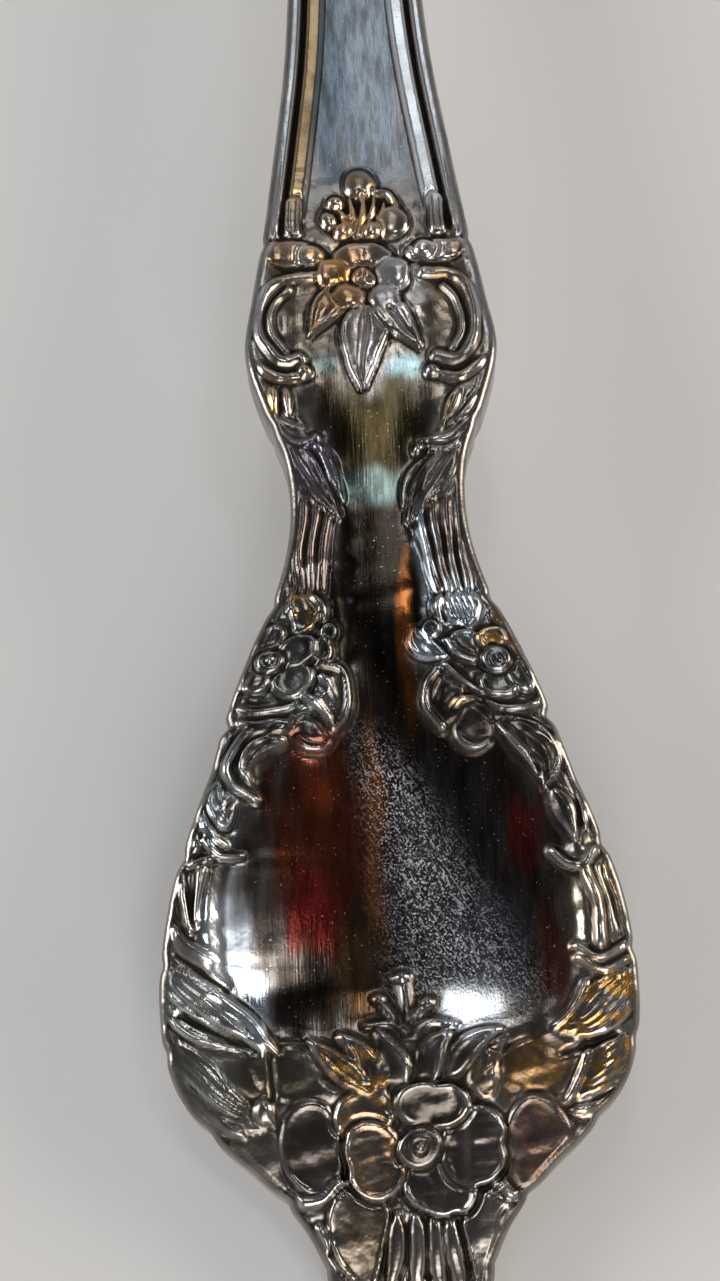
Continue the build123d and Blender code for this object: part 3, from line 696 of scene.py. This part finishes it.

# Tarnish and painted light: soft patches of colour on the plate, each x, u, half width, half length, colour,
# strength. Some are brown tarnished plate. The white-blue ones are painted highlights, and the red, orange and
# teal ones are painted reflections. The panel's deep brown is partly tarnished plate, partly a painted
# reflection of unlit surroundings.
BARE = (0.32, 0.29, 0.26)
BROWN = (0.075, 0.058, 0.045)
HIGHLIGHT_WHITE = (0.88, 0.91, 0.93)
AMBER = (0.50, 0.36, 0.19)
TARNISH_AND_REFLECTIONS = [
    (-5.0, 33.2, 3.2, 4.4, (0.17, 0.18, 0.175), 0.7), (5.2, 33.0, 3.2, 4.4, (0.17, 0.19, 0.20), 0.7),
    (0, 55, 7.5, 5.5, (0.20, 0.16, 0.12), 0.75), (0, 24, 9.8, 12.5, BROWN, 1.0), (0, 37, 3.4, 10, BROWN, 1.0),
    (0, 47, 3.8, 4.2, (0.055, 0.045, 0.022), 1.0), (0, 37.6, 3.2, 5.6, (0.022, 0.018, 0.014), 0.95),
    (-3.4, 44.5, 1.3, 2.4, (0.16, 0.14, 0.20), 0.7), (-3.6, 24.5, 2.6, 5.2, (0.30, 0.07, 0.03), 0.9),
    (-4.0, 20.9, 1.5, 2.1, (0.52, 0.06, 0.05), 0.9), (-3.6, 26.7, 0.8, 1.0, (0.66, 0.13, 0.05), 0.8),
    (-0.9, 24.5, 0.55, 5.2, (0.50, 0.17, 0.05), 0.9), (-4.6, 17.0, 1.8, 2.6, (0.035, 0.026, 0.02), 0.9),
    (-2.0, 18.0, 1.4, 2.8, (0.20, 0.10, 0.04), 0.8), (6.8, 24.4, 1.0, 1.8, (0.45, 0.06, 0.05), 0.75),
    (7.8, 18.4, 0.9, 2.6, (0.40, 0.10, 0.08), 0.7), (1.2, 34.3, 0.5, 4.6, (0.45, 0.15, 0.04), 0.9),
    (2.2, 22.5, 2.6, 5.5, (0.22, 0.22, 0.25), 0.6), (4.8, 18.8, 2.0, 2.6, (0.30, 0.32, 0.40), 0.7),
    (3.5, 15.7, 1.7, 1.4, (0.95, 0.97, 1.0), 1.0), (-8.7, 19.2, 1.2, 3.0, (0.93, 0.96, 1.0), 1.0),
    (-7.3, 15.8, 0.9, 2.0, (0.80, 0.88, 1.0), 0.9), (-0.3, 43.3, 1.9, 1.1, (0.20, 0.28, 0.27), 0.9),
    (1.9, 50.5, 1.4, 0.7, (0.25, 0.36, 0.38), 0.9), (-2.6, 50.9, 0.9, 0.7, (0.16, 0.22, 0.21), 0.8),
    (-3.9, 39.8, 1.5, 3.4, (0.17, 0.13, 0.12), 0.8), (3.6, 39.6, 1.3, 3.4, (0.15, 0.12, 0.11), 0.8),
    (0.6, 72, 2.6, 13, (0.26, 0.31, 0.36), 0.85), (-1.9, 72, 1.3, 13, (0.13, 0.17, 0.21), 0.85),
    (-9.6, 16.6, 2.6, 1.9, (0.62, 0.64, 0.60), 0.7), (-9.6, 12.9, 2.6, 1.5, (0.50, 0.52, 0.46), 0.6),
    (9.8, 20.6, 1.6, 2.6, (0.55, 0.48, 0.36), 0.6), (-9.0, 27, 1.4, 3.5, (0.50, 0.55, 0.58), 0.6),
    (4.0, 36.0, 1.3, 1.6, (0.60, 0.68, 0.74), 0.7), (2.2, 33.8, 0.9, 1.1, (0.60, 0.68, 0.74), 0.7),
    (2.4, 39.0, 0.6, 2.6, (0.62, 0.70, 0.76), 0.7), (-4.0, 31.5, 1.6, 1.4, (0.42, 0.46, 0.46), 0.5),
    (-6.8, 12.9, 2.0, 1.8, (0.16, 0.13, 0.09), 0.8), (6.6, 12.8, 2.0, 1.5, (0.36, 0.21, 0.09), 0.8),
    (-4.6, 9.4, 1.8, 2.4, (0.12, 0.10, 0.09), 0.85), (6.6, 9.2, 2.0, 2.5, (0.17, 0.11, 0.10), 0.85),
    (-2.0, 5.4, 1.6, 2.6, (0.20, 0.15, 0.10), 0.7), (1.0, 9.4, 3.6, 3.6, (0.17, 0.145, 0.13), 0.9),
    (1.3, 11.4, 1.9, 1.1, (0.09, 0.08, 0.07), 0.85), (-1.3, 56.4, 1.9, 2.6, (0.62, 0.36, 0.20), 0.85),
    (1.6, 55.6, 1.6, 2.6, (0.74, 0.72, 0.71), 0.8), (-0.2, 60.6, 2.4, 2.2, (0.66, 0.46, 0.29), 0.8),
    (-3.4, 58.0, 1.5, 1.0, (0.90, 0.84, 0.72), 0.9), (3.5, 58.1, 1.5, 0.9, (0.90, 0.86, 0.78), 0.9),
    (-0.4, 51.8, 1.3, 2.6, (0.74, 0.68, 0.68), 0.8),
]
tarnish_and_reflections = np.ones(Z.shape + (3,)) * BARE
# Painted highlights: bright plate along the shank's right ridge and the edge of the handle. At the left an
# amber line, partly tarnished plate and partly a painted reflection of warm light.
highlight_line = 0.95 * np.exp(-(((inset - 1.68) / 0.55) ** 6)) * ease(X, 0, 1) * ease(U, 60, 63)
highlight_line = np.maximum(highlight_line, 0.85 * np.exp(-(((inset - 0.4) / 0.3) ** 2)) * ease(U, 50, 53))[..., None]
highlight_spots = np.maximum(highlight_spots, highlight_line[..., 0])
for spot_x, spot_u, wide, long, colour, strength in TARNISH_AND_REFLECTIONS:
    ragged = 0.25 * np.sin(3.1 * X + 0.7 * U + spot_u) + 0.2 * np.sin(5.3 * X - 0.9 * U)
    r = np.sqrt(((X - spot_x) / wide) ** 2 + ((U - spot_u) / long) ** 2) + 0.5 * ragged
    amount = (strength * ease(r, 1.4, 0.4))[..., None]
    tarnish_and_reflections = tarnish_and_reflections * (1 - amount) + np.array(colour) * amount
tarnish_and_reflections = tarnish_and_reflections * (1 - highlight_line) + np.array(HIGHLIGHT_WHITE) * highlight_line
amber_tint_and_glint = (0.85 * np.exp(-(((inset - 1.6) / 0.4) ** 4)) * ease(X, 0, -1) * ease(U, 60, 62))[..., None]
tarnish_and_reflections = tarnish_and_reflections * (1 - amber_tint_and_glint) + np.array(AMBER) * amber_tint_and_glint


def close_skin(name, rows, ends=None, layers=None):
    """Closed mesh from rings of points: quads between rings, and a fan to a point at each of the two ends.
    With no ends, the last ring joins the first. A bake map spreads rings up the square and columns across it.
    Layers are values or colours for each point of the rings."""
    count, around = rows.shape[:2]
    index = np.arange(count * around).reshape(count, around)
    near, far = (index, np.roll(index, -1, 0)) if ends is None else (index[:-1], index[1:])
    quads = np.stack([near, np.roll(near, -1, 1), np.roll(far, -1, 1), far], -1).reshape(-1, 4)
    step = np.arange(around) / around
    across = np.stack([step, step + 1 / around, step + 1 / around, step], -1)
    height = np.linspace(0.02, 0.98, len(near) + 1)
    rise = np.stack([height[:-1], height[:-1], height[1:], height[1:]], -1)
    maps = [np.stack(np.broadcast_arrays(across[None], rise[:, None]), -1).reshape(-1)]
    verts, faces = rows.reshape(-1, 3), quads.tolist()
    if ends is not None:
        verts = np.concatenate([verts, ends])
        poles = count * around + np.arange(2)
        faces += np.stack([np.roll(index[0], -1), index[0], np.full(around, poles[0])], -1).tolist()
        faces += np.stack([index[-1], np.roll(index[-1], -1), np.full(around, poles[1])], -1).tolist()
        fan = np.stack([step + 1 / around, step, step + 0.5 / around], -1)
        maps += [np.stack(np.broadcast_arrays(fan, [0.02, 0.02, 0.0]), -1).reshape(-1)]
        maps += [np.stack(np.broadcast_arrays(fan[:, [1, 0, 2]], [0.98, 0.98, 1.0]), -1).reshape(-1)]
    mesh = bpy.data.meshes.new(name)
    mesh.from_pydata((verts * MM).tolist(), [], faces)
    mesh.polygons.foreach_set("use_smooth", np.ones(len(mesh.polygons), bool))
    mesh.uv_layers.new(name="OFBake").data.foreach_set("uv", np.concatenate(maps))
    for label, values in (layers or {}).items():
        points = values.reshape(count * around, -1)
        if ends is not None:
            points = np.concatenate([points, values[0, :1].reshape(1, -1), values[-1, :1].reshape(1, -1)])
        if points.shape[1] == 1:
            mesh.attributes.new(label, "FLOAT", "POINT").data.foreach_set("value", points.ravel())
        else:
            opaque = np.concatenate([points, np.ones((len(points), 1))], 1)
            mesh.attributes.new(label, "FLOAT_COLOR", "POINT").data.foreach_set("color", opaque.ravel())
    mesh.validate()
    piece = bpy.data.objects.new(name, mesh)
    bpy.context.scene.collection.objects.link(piece)
    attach(piece, "root")
    return piece


def socket_rings(mouth, angle, start):
    """Circles round the stem's axis: each has its radius and its distance along the spoon from start."""
    x, z = np.cos(angle), np.sin(angle)
    return np.stack([np.stack([r * x, np.full_like(x, start + at), AXIS_Z + r * z], -1) for r, at in mouth])


def handle_rings():
    """Rings of the handle: the relief on top, a quarter-round edge, a wall, a rounded lower edge, the back.
    Towards the end each ring turns into a circle on the stem's axis; at the tip it shrinks to a point."""
    half = row_half[:, None]
    tip = np.sqrt(1 - (1 - np.minimum(row_u / TIP_EDGE_L, 1)) ** 2)[:, None]
    thick = (BLANK_T + (SHANK_T - BLANK_T) * (row_u / ROUND_U) ** 3)[:, None] * tip
    face = face_height(row_u)[:, None] - BLANK_T / 2 * (1 - tip)
    soft = EDGE_R * np.minimum(1, half / 2) * tip
    top = face + Z * tip
    for side, beside in ((0, (1, 2, 3)), (-1, (-2, -3, -4))):
        level = np.convolve(np.pad(top[:, side], 7, mode="edge"), np.ones(15) / 15, "valid")
        top[:, side] = level
        for column, share in zip(beside, (0.75, 0.45, 0.2)):
            top[:, column] += share * (level - top[:, column])
    turn = np.radians(np.linspace(90, 0, SIDE_COLUMNS))[None, :]
    low_turn = np.radians(np.linspace(0, -90, SIDE_COLUMNS))[None, :]
    under = face - thick
    low_soft = 1.3 * soft
    over_x = half - soft + soft * np.cos(turn)
    under_x = half - low_soft + low_soft * np.cos(low_turn)
    back_share = np.linspace(1, -1, BACK_COLUMNS + 2)[None, 1:-1]
    back_x = (half - low_soft) * back_share
    back_z = under + 0.25 * (1 - back_share**2) * ease(row_u, 3, 12)[:, None] * ease(row_u, 90, 70)[:, None]
    xs = [X, over_x[:, 1:], under_x, back_x, -under_x[:, ::-1], -over_x[:, :0:-1]]
    under_z = under + low_soft + low_soft * np.sin(low_turn)
    right_z, left_z = (edge - soft + soft * np.sin(turn) for edge in (top[:, -1:], top[:, :1]))
    zs = [top, right_z[:, 1:], under_z, back_z, under_z[:, ::-1], left_z[:, :0:-1]]
    x, z = np.concatenate(xs, 1), np.concatenate(zs, 1)
    counts = [a.shape[1] for a in xs]
    spans = [(160, 20), (17, 6), (3, -18), (-22, -158), (-162, -183), (-186, -197)]
    angle = np.radians(np.concatenate([np.linspace(a, b, n) for (a, b), n in zip(spans, counts)]))
    circle_x, circle_z = END_R * np.cos(angle), AXIS_Z + END_R * np.sin(angle)
    rounded = ease(row_u, ROUND_U - 12, ROUND_U + 0.5)[:, None]
    x = x * (1 - rounded) + circle_x[None, :] * rounded
    z = z * (1 - rounded) + circle_z[None, :] * rounded
    y = np.broadcast_to(row_u[:, None], x.shape)
    rows = np.stack([x, y, np.maximum(z, 0)], -1)
    mouth = [(END_R - 0.12, HANDLE_L), (SOCKET_R, HANDLE_L), (SOCKET_R, HANDLE_L - SOCKET_L)]
    rows = np.concatenate([rows, socket_rings(mouth, angle, 0.0)])
    rows[..., 1] += TIP_Y
    # Each layer is its field on the face and a plain value round the sides and back.
    layers = {"proud": (proud, 0.5), "gold_tint_and_glint": (gold_tint_and_glint, 0.0), "panel": (panel_mask, 0.0), "scuffed": (scuffed, 0.0),
              "highlight_spots": (highlight_spots, 0.0), "tarnish_and_reflections": (tarnish_and_reflections, BARE)}
    for label, (field, plain) in layers.items():
        behind = np.ones((len(row_u), x.shape[1] - FRONT_COLUMNS) + field.shape[2:]) * plain
        full = np.concatenate([field, behind], 1)
        layers[label] = np.concatenate([full, np.repeat(full[-1:], len(mouth), 0)])
    return rows, layers


rows, layers = handle_rings()
tip_point = (0, TIP_Y, rows[0, :, 2].mean())
socket_point = (0, TIP_Y + HANDLE_L - SOCKET_L, AXIS_Z)
handle = close_skin("struck_handle", rows, [tip_point, socket_point], layers)
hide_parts("handle")

handle_material, shade, place = new_material("tarnished_silver_painted_light")
# Colour layers: tarnished plate with painted reflections and highlights, amber that is partly a painted warm
# glint, and spots kept clear to show painted highlights.
tarnish_and_reflection_layer = shade.layer("tarnish_and_reflections", out=0)
proud_layer, gold_tint_and_glint_layer, panel_layer = shade.layer("proud"), shade.layer("gold_tint_and_glint"), shade.layer("panel")
highlight_layer, scuff_layer = shade.layer("highlight_spots"), shade.layer("scuffed")
patches = shade.noise(place, 420.0, 3.0).between(0.35, 0.7)
blots = shade.noise(place, 1500.0, 3.0, 0.6).between(0.40, 0.62)
streaks = shade.noise(shade.stretched(place, 1900, 330, 330), 1.0, 6.0, 0.7).between(0.38, 0.66)
threads = shade.noise(shade.stretched(place, 9000, 700, 700), 1.0, 2.0, 0.6).between(0.45, 0.62)
shaded_plate = shade.make("ShaderNodeMix", {"data_type": "RGBA", "blend_type": "MULTIPLY"},
                          {0: 1.0, 6: tarnish_and_reflection_layer, 7: (0.30, 0.27, 0.25, 1)}, 2)
# Grime and scratch threads are held back where the painted highlights are.
grime = streaks * 0.75 * panel_layer + patches * 0.55 * (1 - panel_layer)
plate = (grime * (1 - highlight_layer * 0.8)).mix(tarnish_and_reflection_layer, shaded_plate)
# Amber on the leaves, partly tarnished plate and partly a painted warm glint.
plate = (gold_tint_and_glint_layer * blots).mix(plate, (0.62, 0.34, 0.10, 1))
plate = (threads * (0.35 - highlight_layer * 0.2) * panel_layer).mix(plate, shaded_plate)
# Painted shade: the plate turns near black where the relief is low against its surroundings.
hollow_shade = proud_layer.between(0.42, 0.12)
colour = hollow_shade.mix(plate, (0.030, 0.024, 0.018, 1))
# Raised tops lighter: partly rubbed by wear, partly a painted highlight.
worn_and_lit = proud_layer.between(0.62, 0.97) * (1 - panel_layer * 0.9)
colour = worn_and_lit.mix(colour, (0.17, 0.17, 0.17, 1), "ADD")
slanted = shade.make("ShaderNodeMapping", {"vector_type": "TEXTURE"},
                     {"Vector": place, "Rotation": (0, 0, -1.0), "Scale": (1 / 1600, 1 / 9000, 1 / 5000)})
strokes = shade.noise(slanted, 1.0, 2.0, 0.6).between(0.55, 0.65)
grit = shade.noise(place, 8000.0, 2.0, 0.6).between(0.54, 0.62)
clumps = shade.noise(place, 1100.0, 2.0, 0.6).between(0.10, 0.55)
flecks = shade.maths("MAXIMUM", strokes * 0.8, grit) * clumps * scuff_layer
dust = shade.noise(place, 6000.0, 2.0, 0.6).between(0.68, 0.75) * panel_layer
flecks = flecks * 0.7 + dust * 0.4
colour = flecks.mix(colour, (0.72, 0.73, 0.75, 1))
hairs = shade.noise(shade.stretched(place, 9000, 500, 500), 1.0, 2.0, 0.6)
grains = shade.noise(place, 5200.0, 2.0, 0.7)
uneven = shade.noise(place, 1300.0, 2.0, 0.6) * (1 - panel_layer)
roughness = 0.18 - panel_layer * 0.04 + hollow_shade * 0.25 + patches * (1 - panel_layer) * 0.10 + scuff_layer * 0.10
height = hairs * 0.25 + grains * (0.15 + scuff_layer * 0.9) + uneven * 1.6
bump = shade.bump(0.5, 0.03 * MM, height)
shade.surface({"Base Color": colour, "Metallic": 1 - flecks, "Roughness": roughness, "Normal": bump})
handle.data.materials.append(handle_material)


# ---- Stem ----
# A square rod of silver-plated brass, twisted seven turns. Each end is turned down to a round land and
# a thinner spigot, which is brazed into the handle or the bowl.
stem_low, stem_high = (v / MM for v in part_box("stem"))
SQUARE = 3.4
CORNER_R = 0.35
TURNS = 7
LAND_R = 1.9
SPIGOT_R = 1.5
SPIGOT_L = 6.0
LAND_L = 5.0
CHAMFER = 0.2
STEM_ROWS = 430


def square_ring(side, corner, across):
    """Points round a square with rounded corners: each corner an arc, and straight points between arcs."""
    quarter = np.arange(4) * math.pi / 2
    arc = np.linspace(0, math.pi / 2, 6)
    ring = (side / 2 - corner) * math.sqrt(2) * np.exp(1j * (quarter[:, None] + math.pi / 4))
    ring = ring + corner * np.exp(1j * (quarter[:, None] + arc[None, :]))
    gap = np.linspace(0, 1, across + 2)[None, 1:-1]
    sides = ring[:, -1:] * (1 - gap) + np.roll(ring[:, :1], -1, 0) * gap
    return np.concatenate([ring, sides], 1).ravel()


outline = square_ring(SQUARE, CORNER_R, 6)
twist_low, twist_high = stem_low.y + SPIGOT_L + LAND_L, stem_high.y - SPIGOT_L - LAND_L
y = np.linspace(twist_low, twist_high, STEM_ROWS)
turned = outline[None, :] * np.exp(2j * math.pi * TURNS * ((y - twist_low) / (twist_high - twist_low)))[:, None]
unit = outline / np.abs(outline)
low_part = [
    (SPIGOT_R - CHAMFER, 0), (SPIGOT_R, CHAMFER), (SPIGOT_R, SPIGOT_L), (LAND_R, SPIGOT_L),
    (LAND_R, SPIGOT_L + LAND_L),
]
low_rings = np.stack([unit * r for r, _ in low_part])
low_y = stem_low.y + np.array([at for _, at in low_part])
section = np.concatenate([low_rings, turned, low_rings[::-1]])
along = np.concatenate([low_y, y, stem_high.y - (low_y[::-1] - stem_low.y)])
rows = np.stack([section.real, np.broadcast_to(along[:, None], section.shape), AXIS_Z + section.imag], -1)
# Proud only at the square's corners: the flats between them take painted shade.
corners = ease(np.abs(section), 1.75, 2.2)
ends = [(0, stem_low.y, AXIS_Z), (0, stem_high.y, AXIS_Z)]
stem = close_skin("twisted_stem", rows[:, ::-1], ends, {"proud": corners[:, ::-1]})
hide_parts("stem")


def plain_silver(name, drawn, pit_depth, worn_and_lit=(0.58, 0.56, 0.53, 1), shade_and_specks=(0.10, 0.08, 0.06, 1)):
    """Silver plate with painted shade in its hollows (where proud is low), soft stains, shallow pits, and
    hair scratches drawn out along one axis. The plate colour and the shade colour are lit and unlit copies of
    one plate; the shade colour also marks small specks."""
    material, shade, place = new_material(name)
    stains = shade.noise(place, 160.0, 4.0, 0.6).between(0.40, 0.68)
    specks = shade.noise(place, 2600.0, 2.0, 0.6).between(0.62, 0.72)
    plate = stains.mix(worn_and_lit, tuple(0.45 * c for c in worn_and_lit[:3]) + (1,))
    plate = (specks * 0.5).mix(plate, shade_and_specks)
    # Painted shade: the hollows take the shade colour.
    hollow = shade.layer("proud").between(0.55, 0.1)
    colour = (hollow * 0.85).mix(plate, shade_and_specks)
    hairs = shade.noise(shade.stretched(place, *drawn), 1.0, 2.0, 0.6)
    pits = shade.noise(place, 3800.0, 2.0, 0.7)
    height = hairs * 0.5 + pits * pit_depth
    bump = shade.bump(0.4, 0.02 * MM, height)
    roughness = 0.15 + hollow * 0.25 + stains * 0.10
    shade.surface({"Base Color": colour, "Metallic": 1.0, "Roughness": roughness, "Normal": bump})
    return material


stem.data.materials.append(plain_silver("drawn_silver", (6000, 500, 6000), 0.3))


# ---- Collars ----
# A turned ring of silver-plated brass over each brazed joint, with a rounded bead on the side of the joint.
# The bore clears the stem's round land. The lathe has left fine rings round them.
BEAD_R = 4.2
BEAD_L = 1.6
COLLAR_R = 3.5
COLLAR_L = 5.0
BORE_R = 1.95
COVE_R = 0.35
TURNED_COLUMNS = 96


def turned_profile(name, section, away):
    """Ring turned from a closed section, whose points give radius, place along the spoon and proudness."""
    radii, places, proud = (np.array(column) for column in zip(*section))
    angle = np.arange(TURNED_COLUMNS) * 2 * math.pi / TURNED_COLUMNS
    order = slice(None, None, -1) if away > 0 else slice(None)
    radii, places, proud = radii[order], places[order], proud[order]
    x = radii[:, None] * np.cos(angle)
    z = AXIS_Z + radii[:, None] * np.sin(angle)
    rows = np.stack([x, np.broadcast_to(places[:, None], x.shape), z], -1)
    return close_skin(name, rows, None, {"proud": np.broadcast_to(proud[:, None], x.shape)})


def collar_profile(joint, away):
    """Round the section: bore, joint face, half-round bead, cove, barrel, rounded far edge, far face."""
    bead = np.radians(np.linspace(-80, 80, 13))
    bead_r = BEAD_R - BEAD_L / 2 + BEAD_L / 2 * np.cos(bead)
    bead_y = BEAD_L / 2 + BEAD_L / 2 * np.sin(bead)
    # Each point's third value is its proudness; where it is low, in the cove beside the bead and at the far
    # face by the bore, the plate takes painted shade.
    points = [(BORE_R, 0.0, 0.5), (BEAD_R - BEAD_L / 2 - 0.3, 0.0, 0.5)]
    points += [(r, y, 0.35 + 0.65 * c) for r, y, c in zip(bead_r, bead_y, np.cos(bead))]
    points += [(COLLAR_R + 0.04, BEAD_L + 0.02, 0.1), (COLLAR_R, BEAD_L + 0.25, 0.15)]
    points += [(COLLAR_R, BEAD_L + 0.6, 0.6)]
    points += [(COLLAR_R, y, 0.8) for y in np.linspace(BEAD_L + 1.0, COLLAR_L - COVE_R, 6)]
    for t in np.radians(np.linspace(15, 90, 6)):
        points.append((COLLAR_R - COVE_R * (1 - math.cos(t)), COLLAR_L - COVE_R * (1 - math.sin(t)), 0.9))
    points += [(BORE_R + 0.3, COLLAR_L, 0.4), (BORE_R + 0.1, COLLAR_L, 0.15), (BORE_R, COLLAR_L - 0.2, 0.1)]
    return [(r, joint + away * y, p) for r, y, p in points]


collar_material = plain_silver("turned_silver", (500, 9000, 500), 0.25)
for node, name, away in (("handle_ferrule", "handle_collar", 1), ("bowl_ferrule", "bowl_collar", -1)):
    low, high = (v.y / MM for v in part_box(node))
    joint = low if away > 0 else high
    collar = turned_profile(name, collar_profile(joint, away), away)
    collar.data.materials.append(collar_material)
    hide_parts(node)


# ---- Solder ----
# Silver solder that has run into the corner between each collar and the part beside it and set in a hollow
# fillet. It is duller and greyer than the plate, and a little lumpy.
FILLET = 0.5
NECK_R = 3.3


def fillet_profile(joint, away, shaft_r):
    """Three-cornered section: up the collar's face, down a hollow slope, and back along the shaft."""
    run = away * FILLET
    points = [(shaft_r, joint, 0.4), (shaft_r + FILLET / 2, joint, 0.5)]
    for t in np.linspace(0, math.pi / 2, 9)[:-1]:
        points.append((shaft_r + FILLET * (1 - math.sin(t)), joint - run * (1 - math.cos(t)), 0.7))
    return points + [(shaft_r, joint - run, 0.4), (shaft_r, joint - run / 2, 0.4)]


solder_material, shade, place = new_material("set_solder")
lumps = shade.noise(place, 1500.0, 3.0, 0.6)
skin = shade.noise(place, 500.0, 2.0).between(0.35, 0.7)
colour = skin.mix((0.52, 0.50, 0.47, 1), (0.30, 0.28, 0.26, 1))
bump = shade.bump(0.5, 0.06 * MM, lumps)
shade.surface({"Base Color": colour, "Metallic": 1.0, "Roughness": 0.38 + skin * 0.15, "Normal": bump})
for node, name, away, shaft_r in (
    ("handle_solder", "handle_fillet", 1, END_R), ("bowl_solder", "bowl_fillet", -1, NECK_R),
):
    low, high = (v.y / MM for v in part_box(node))
    joint = high if away > 0 else low
    ring = turned_profile(name, fillet_profile(joint, away, shaft_r), -away)
    ring.data.materials.append(solder_material)
    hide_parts(node)


# ---- Bowl ----
# A small egg-shaped bowl pressed from silver-plated steel, one piece with a solid neck. The neck has a blind
# socket for the stem's spigot, and flattens as it runs into the heel of the bowl.
bowl_low, bowl_high = (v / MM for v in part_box("bowl"))
WIDEST_Y = bowl_low.y + 31.0
HEEL_L = 19.0
RIM_Z = 8.2
BOWL_DEPTH = 8.35
WALL = 1.1
RIM_EDGE = 0.32
ROOT_Y = bowl_low.y + 15.0
ROOT_HALF_W, ROOT_HALF_H = 4.5, 1.8
NECK_ROUND_L = 8.0
NEVER = 99.0  # a height that is out of reach, so that the other surface is taken
tip_l = bowl_high.y - WIDEST_Y
bowl_half_w = bowl_high.x

heel_turn = np.linspace(0, math.pi / 2, 72)
tip_turn = np.linspace(0, math.pi / 2, 84)[1:-1]
neck_y = bowl_low.y + np.linspace(MOUTH_EDGE, 11.8, 26)
y = np.concatenate([neck_y, WIDEST_Y - HEEL_L * np.cos(heel_turn[1:]), WIDEST_Y + tip_l * np.sin(tip_turn)])
s = (y - WIDEST_Y)[:, None]
long = np.where(s < 0, HEEL_L, tip_l)
inner_long = long - WALL
inner_half_w = bowl_half_w - WALL
egg_half = bowl_half_w * np.sqrt(np.maximum(0, 1 - (s / long) ** 2))
to_root = np.clip((y - bowl_low.y - NECK_ROUND_L) / (ROOT_Y - bowl_low.y - NECK_ROUND_L), 0, 1)[:, None]
neck_half = NECK_R + (ROOT_HALF_W - NECK_R) * to_root
neck_tall = NECK_R + (ROOT_HALF_H - NECK_R) * to_root
neck_mid = AXIS_Z + (RIM_Z - ROOT_HALF_H - AXIS_Z) * to_root
neck_mid = np.where(y[:, None] > ROOT_Y, RIM_Z - ROOT_HALF_H - 0.6 * (y[:, None] - ROOT_Y), neck_mid)
edge = np.maximum(egg_half, np.where(y[:, None] <= ROOT_Y, neck_half, 0))


def bowl_side(x, upper):
    """Height at x: the higher (or lower) of the neck's ellipse and the egg, with the hollow taken out on top.
    The rim is a flat land with both edges rounded."""
    sign = 1 if upper else -1
    neck = neck_mid + sign * neck_tall * np.sqrt(np.maximum(0, 1 - (x / neck_half) ** 2))
    neck = np.where((np.abs(x) <= neck_half) & (y[:, None] <= ROOT_Y + 2), neck, -sign * NEVER)
    out = np.sqrt((x / bowl_half_w) ** 2 + (s / long) ** 2)
    inside = np.sqrt((x / inner_half_w) ** 2 + (s / inner_long) ** 2)
    if not upper:
        egg = np.where(out <= 1.0001, RIM_Z - BOWL_DEPTH * np.sqrt(np.maximum(0, 1 - out**2)), NEVER)
        return np.maximum(np.minimum(neck, egg), 0)
    off_edge = (1 - out) / np.hypot(x / bowl_half_w**2, s / long**2) * out
    off_hollow = (inside - 1) / np.hypot(x / inner_half_w**2, s / inner_long**2) * inside
    drop = sum(1 - np.sqrt(1 - (1 - np.clip(off / RIM_EDGE, 0, 1)) ** 2) for off in (off_edge, off_hollow))
    rim = np.where(out <= 1.0001, RIM_Z - RIM_EDGE * drop, -NEVER)
    hollow = RIM_Z - RIM_EDGE - (BOWL_DEPTH - WALL - RIM_EDGE) * np.sqrt(np.maximum(0, 1 - inside**2))
    return np.where(inside < 1, hollow, np.maximum(neck, rim))


over = np.radians(np.linspace(90, -90, 96))[None, :]
under = np.radians(np.linspace(-90, 90, 66))[None, 1:-1]
top_x, low_x = edge * np.sin(over), edge * np.sin(under)
top_z, low_z = bowl_side(top_x, True), bowl_side(low_x, False)
at_edge = np.where(egg_half >= edge, RIM_Z - RIM_EDGE, neck_mid)
top_z[:, :1] = top_z[:, -1:] = at_edge
melt = (ease(y, bowl_low.y + 5, bowl_low.y + 9) * ease(y, bowl_low.y + 19, bowl_low.y + 14.5))[:, None]
top_z[:, 1:-1] += ((blur(top_z, 30) - top_z) * melt)[:, 1:-1]
low_z += (blur(low_z, 30) - low_z) * melt
x, z = np.concatenate([top_x, low_x], 1), np.concatenate([top_z, low_z], 1)
rows = np.stack([x, np.broadcast_to(y[:, None], x.shape), z], -1)
angle = np.concatenate([math.pi / 2 - over, 1.5 * math.pi - under], 1).ravel()
mouth = [(SOCKET_R, SOCKET_L), (SOCKET_R, 0.0), (NECK_R - MOUTH_EDGE, 0.0)]
rows = np.concatenate([socket_rings(mouth, angle, bowl_low.y), rows])
# Proudness: 0.5 in the socket's mouth and higher over the bowl, but low at the heel where the neck runs into
# the bowl, which takes painted shade.
worn_and_lit = np.concatenate([np.full((len(mouth), x.shape[1]), 0.5), 0.75 + 0.25 * ease(z, RIM_Z - 1.2, RIM_Z - 0.2)])
worn_and_lit[len(mouth):] -= 0.45 * ease(np.abs(y - ROOT_Y + 1.5), 4.0, 0.0)[:, None]
ends = [(0, bowl_low.y + SOCKET_L, AXIS_Z), (0, bowl_high.y, RIM_Z - RIM_EDGE)]
bowl = close_skin("spoon_bowl", rows[:, ::-1], ends, {"proud": worn_and_lit[:, ::-1]})
bowl.data.materials.append(plain_silver("bowl_silver", (900, 900, 4000), 0.35))
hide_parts("bowl")
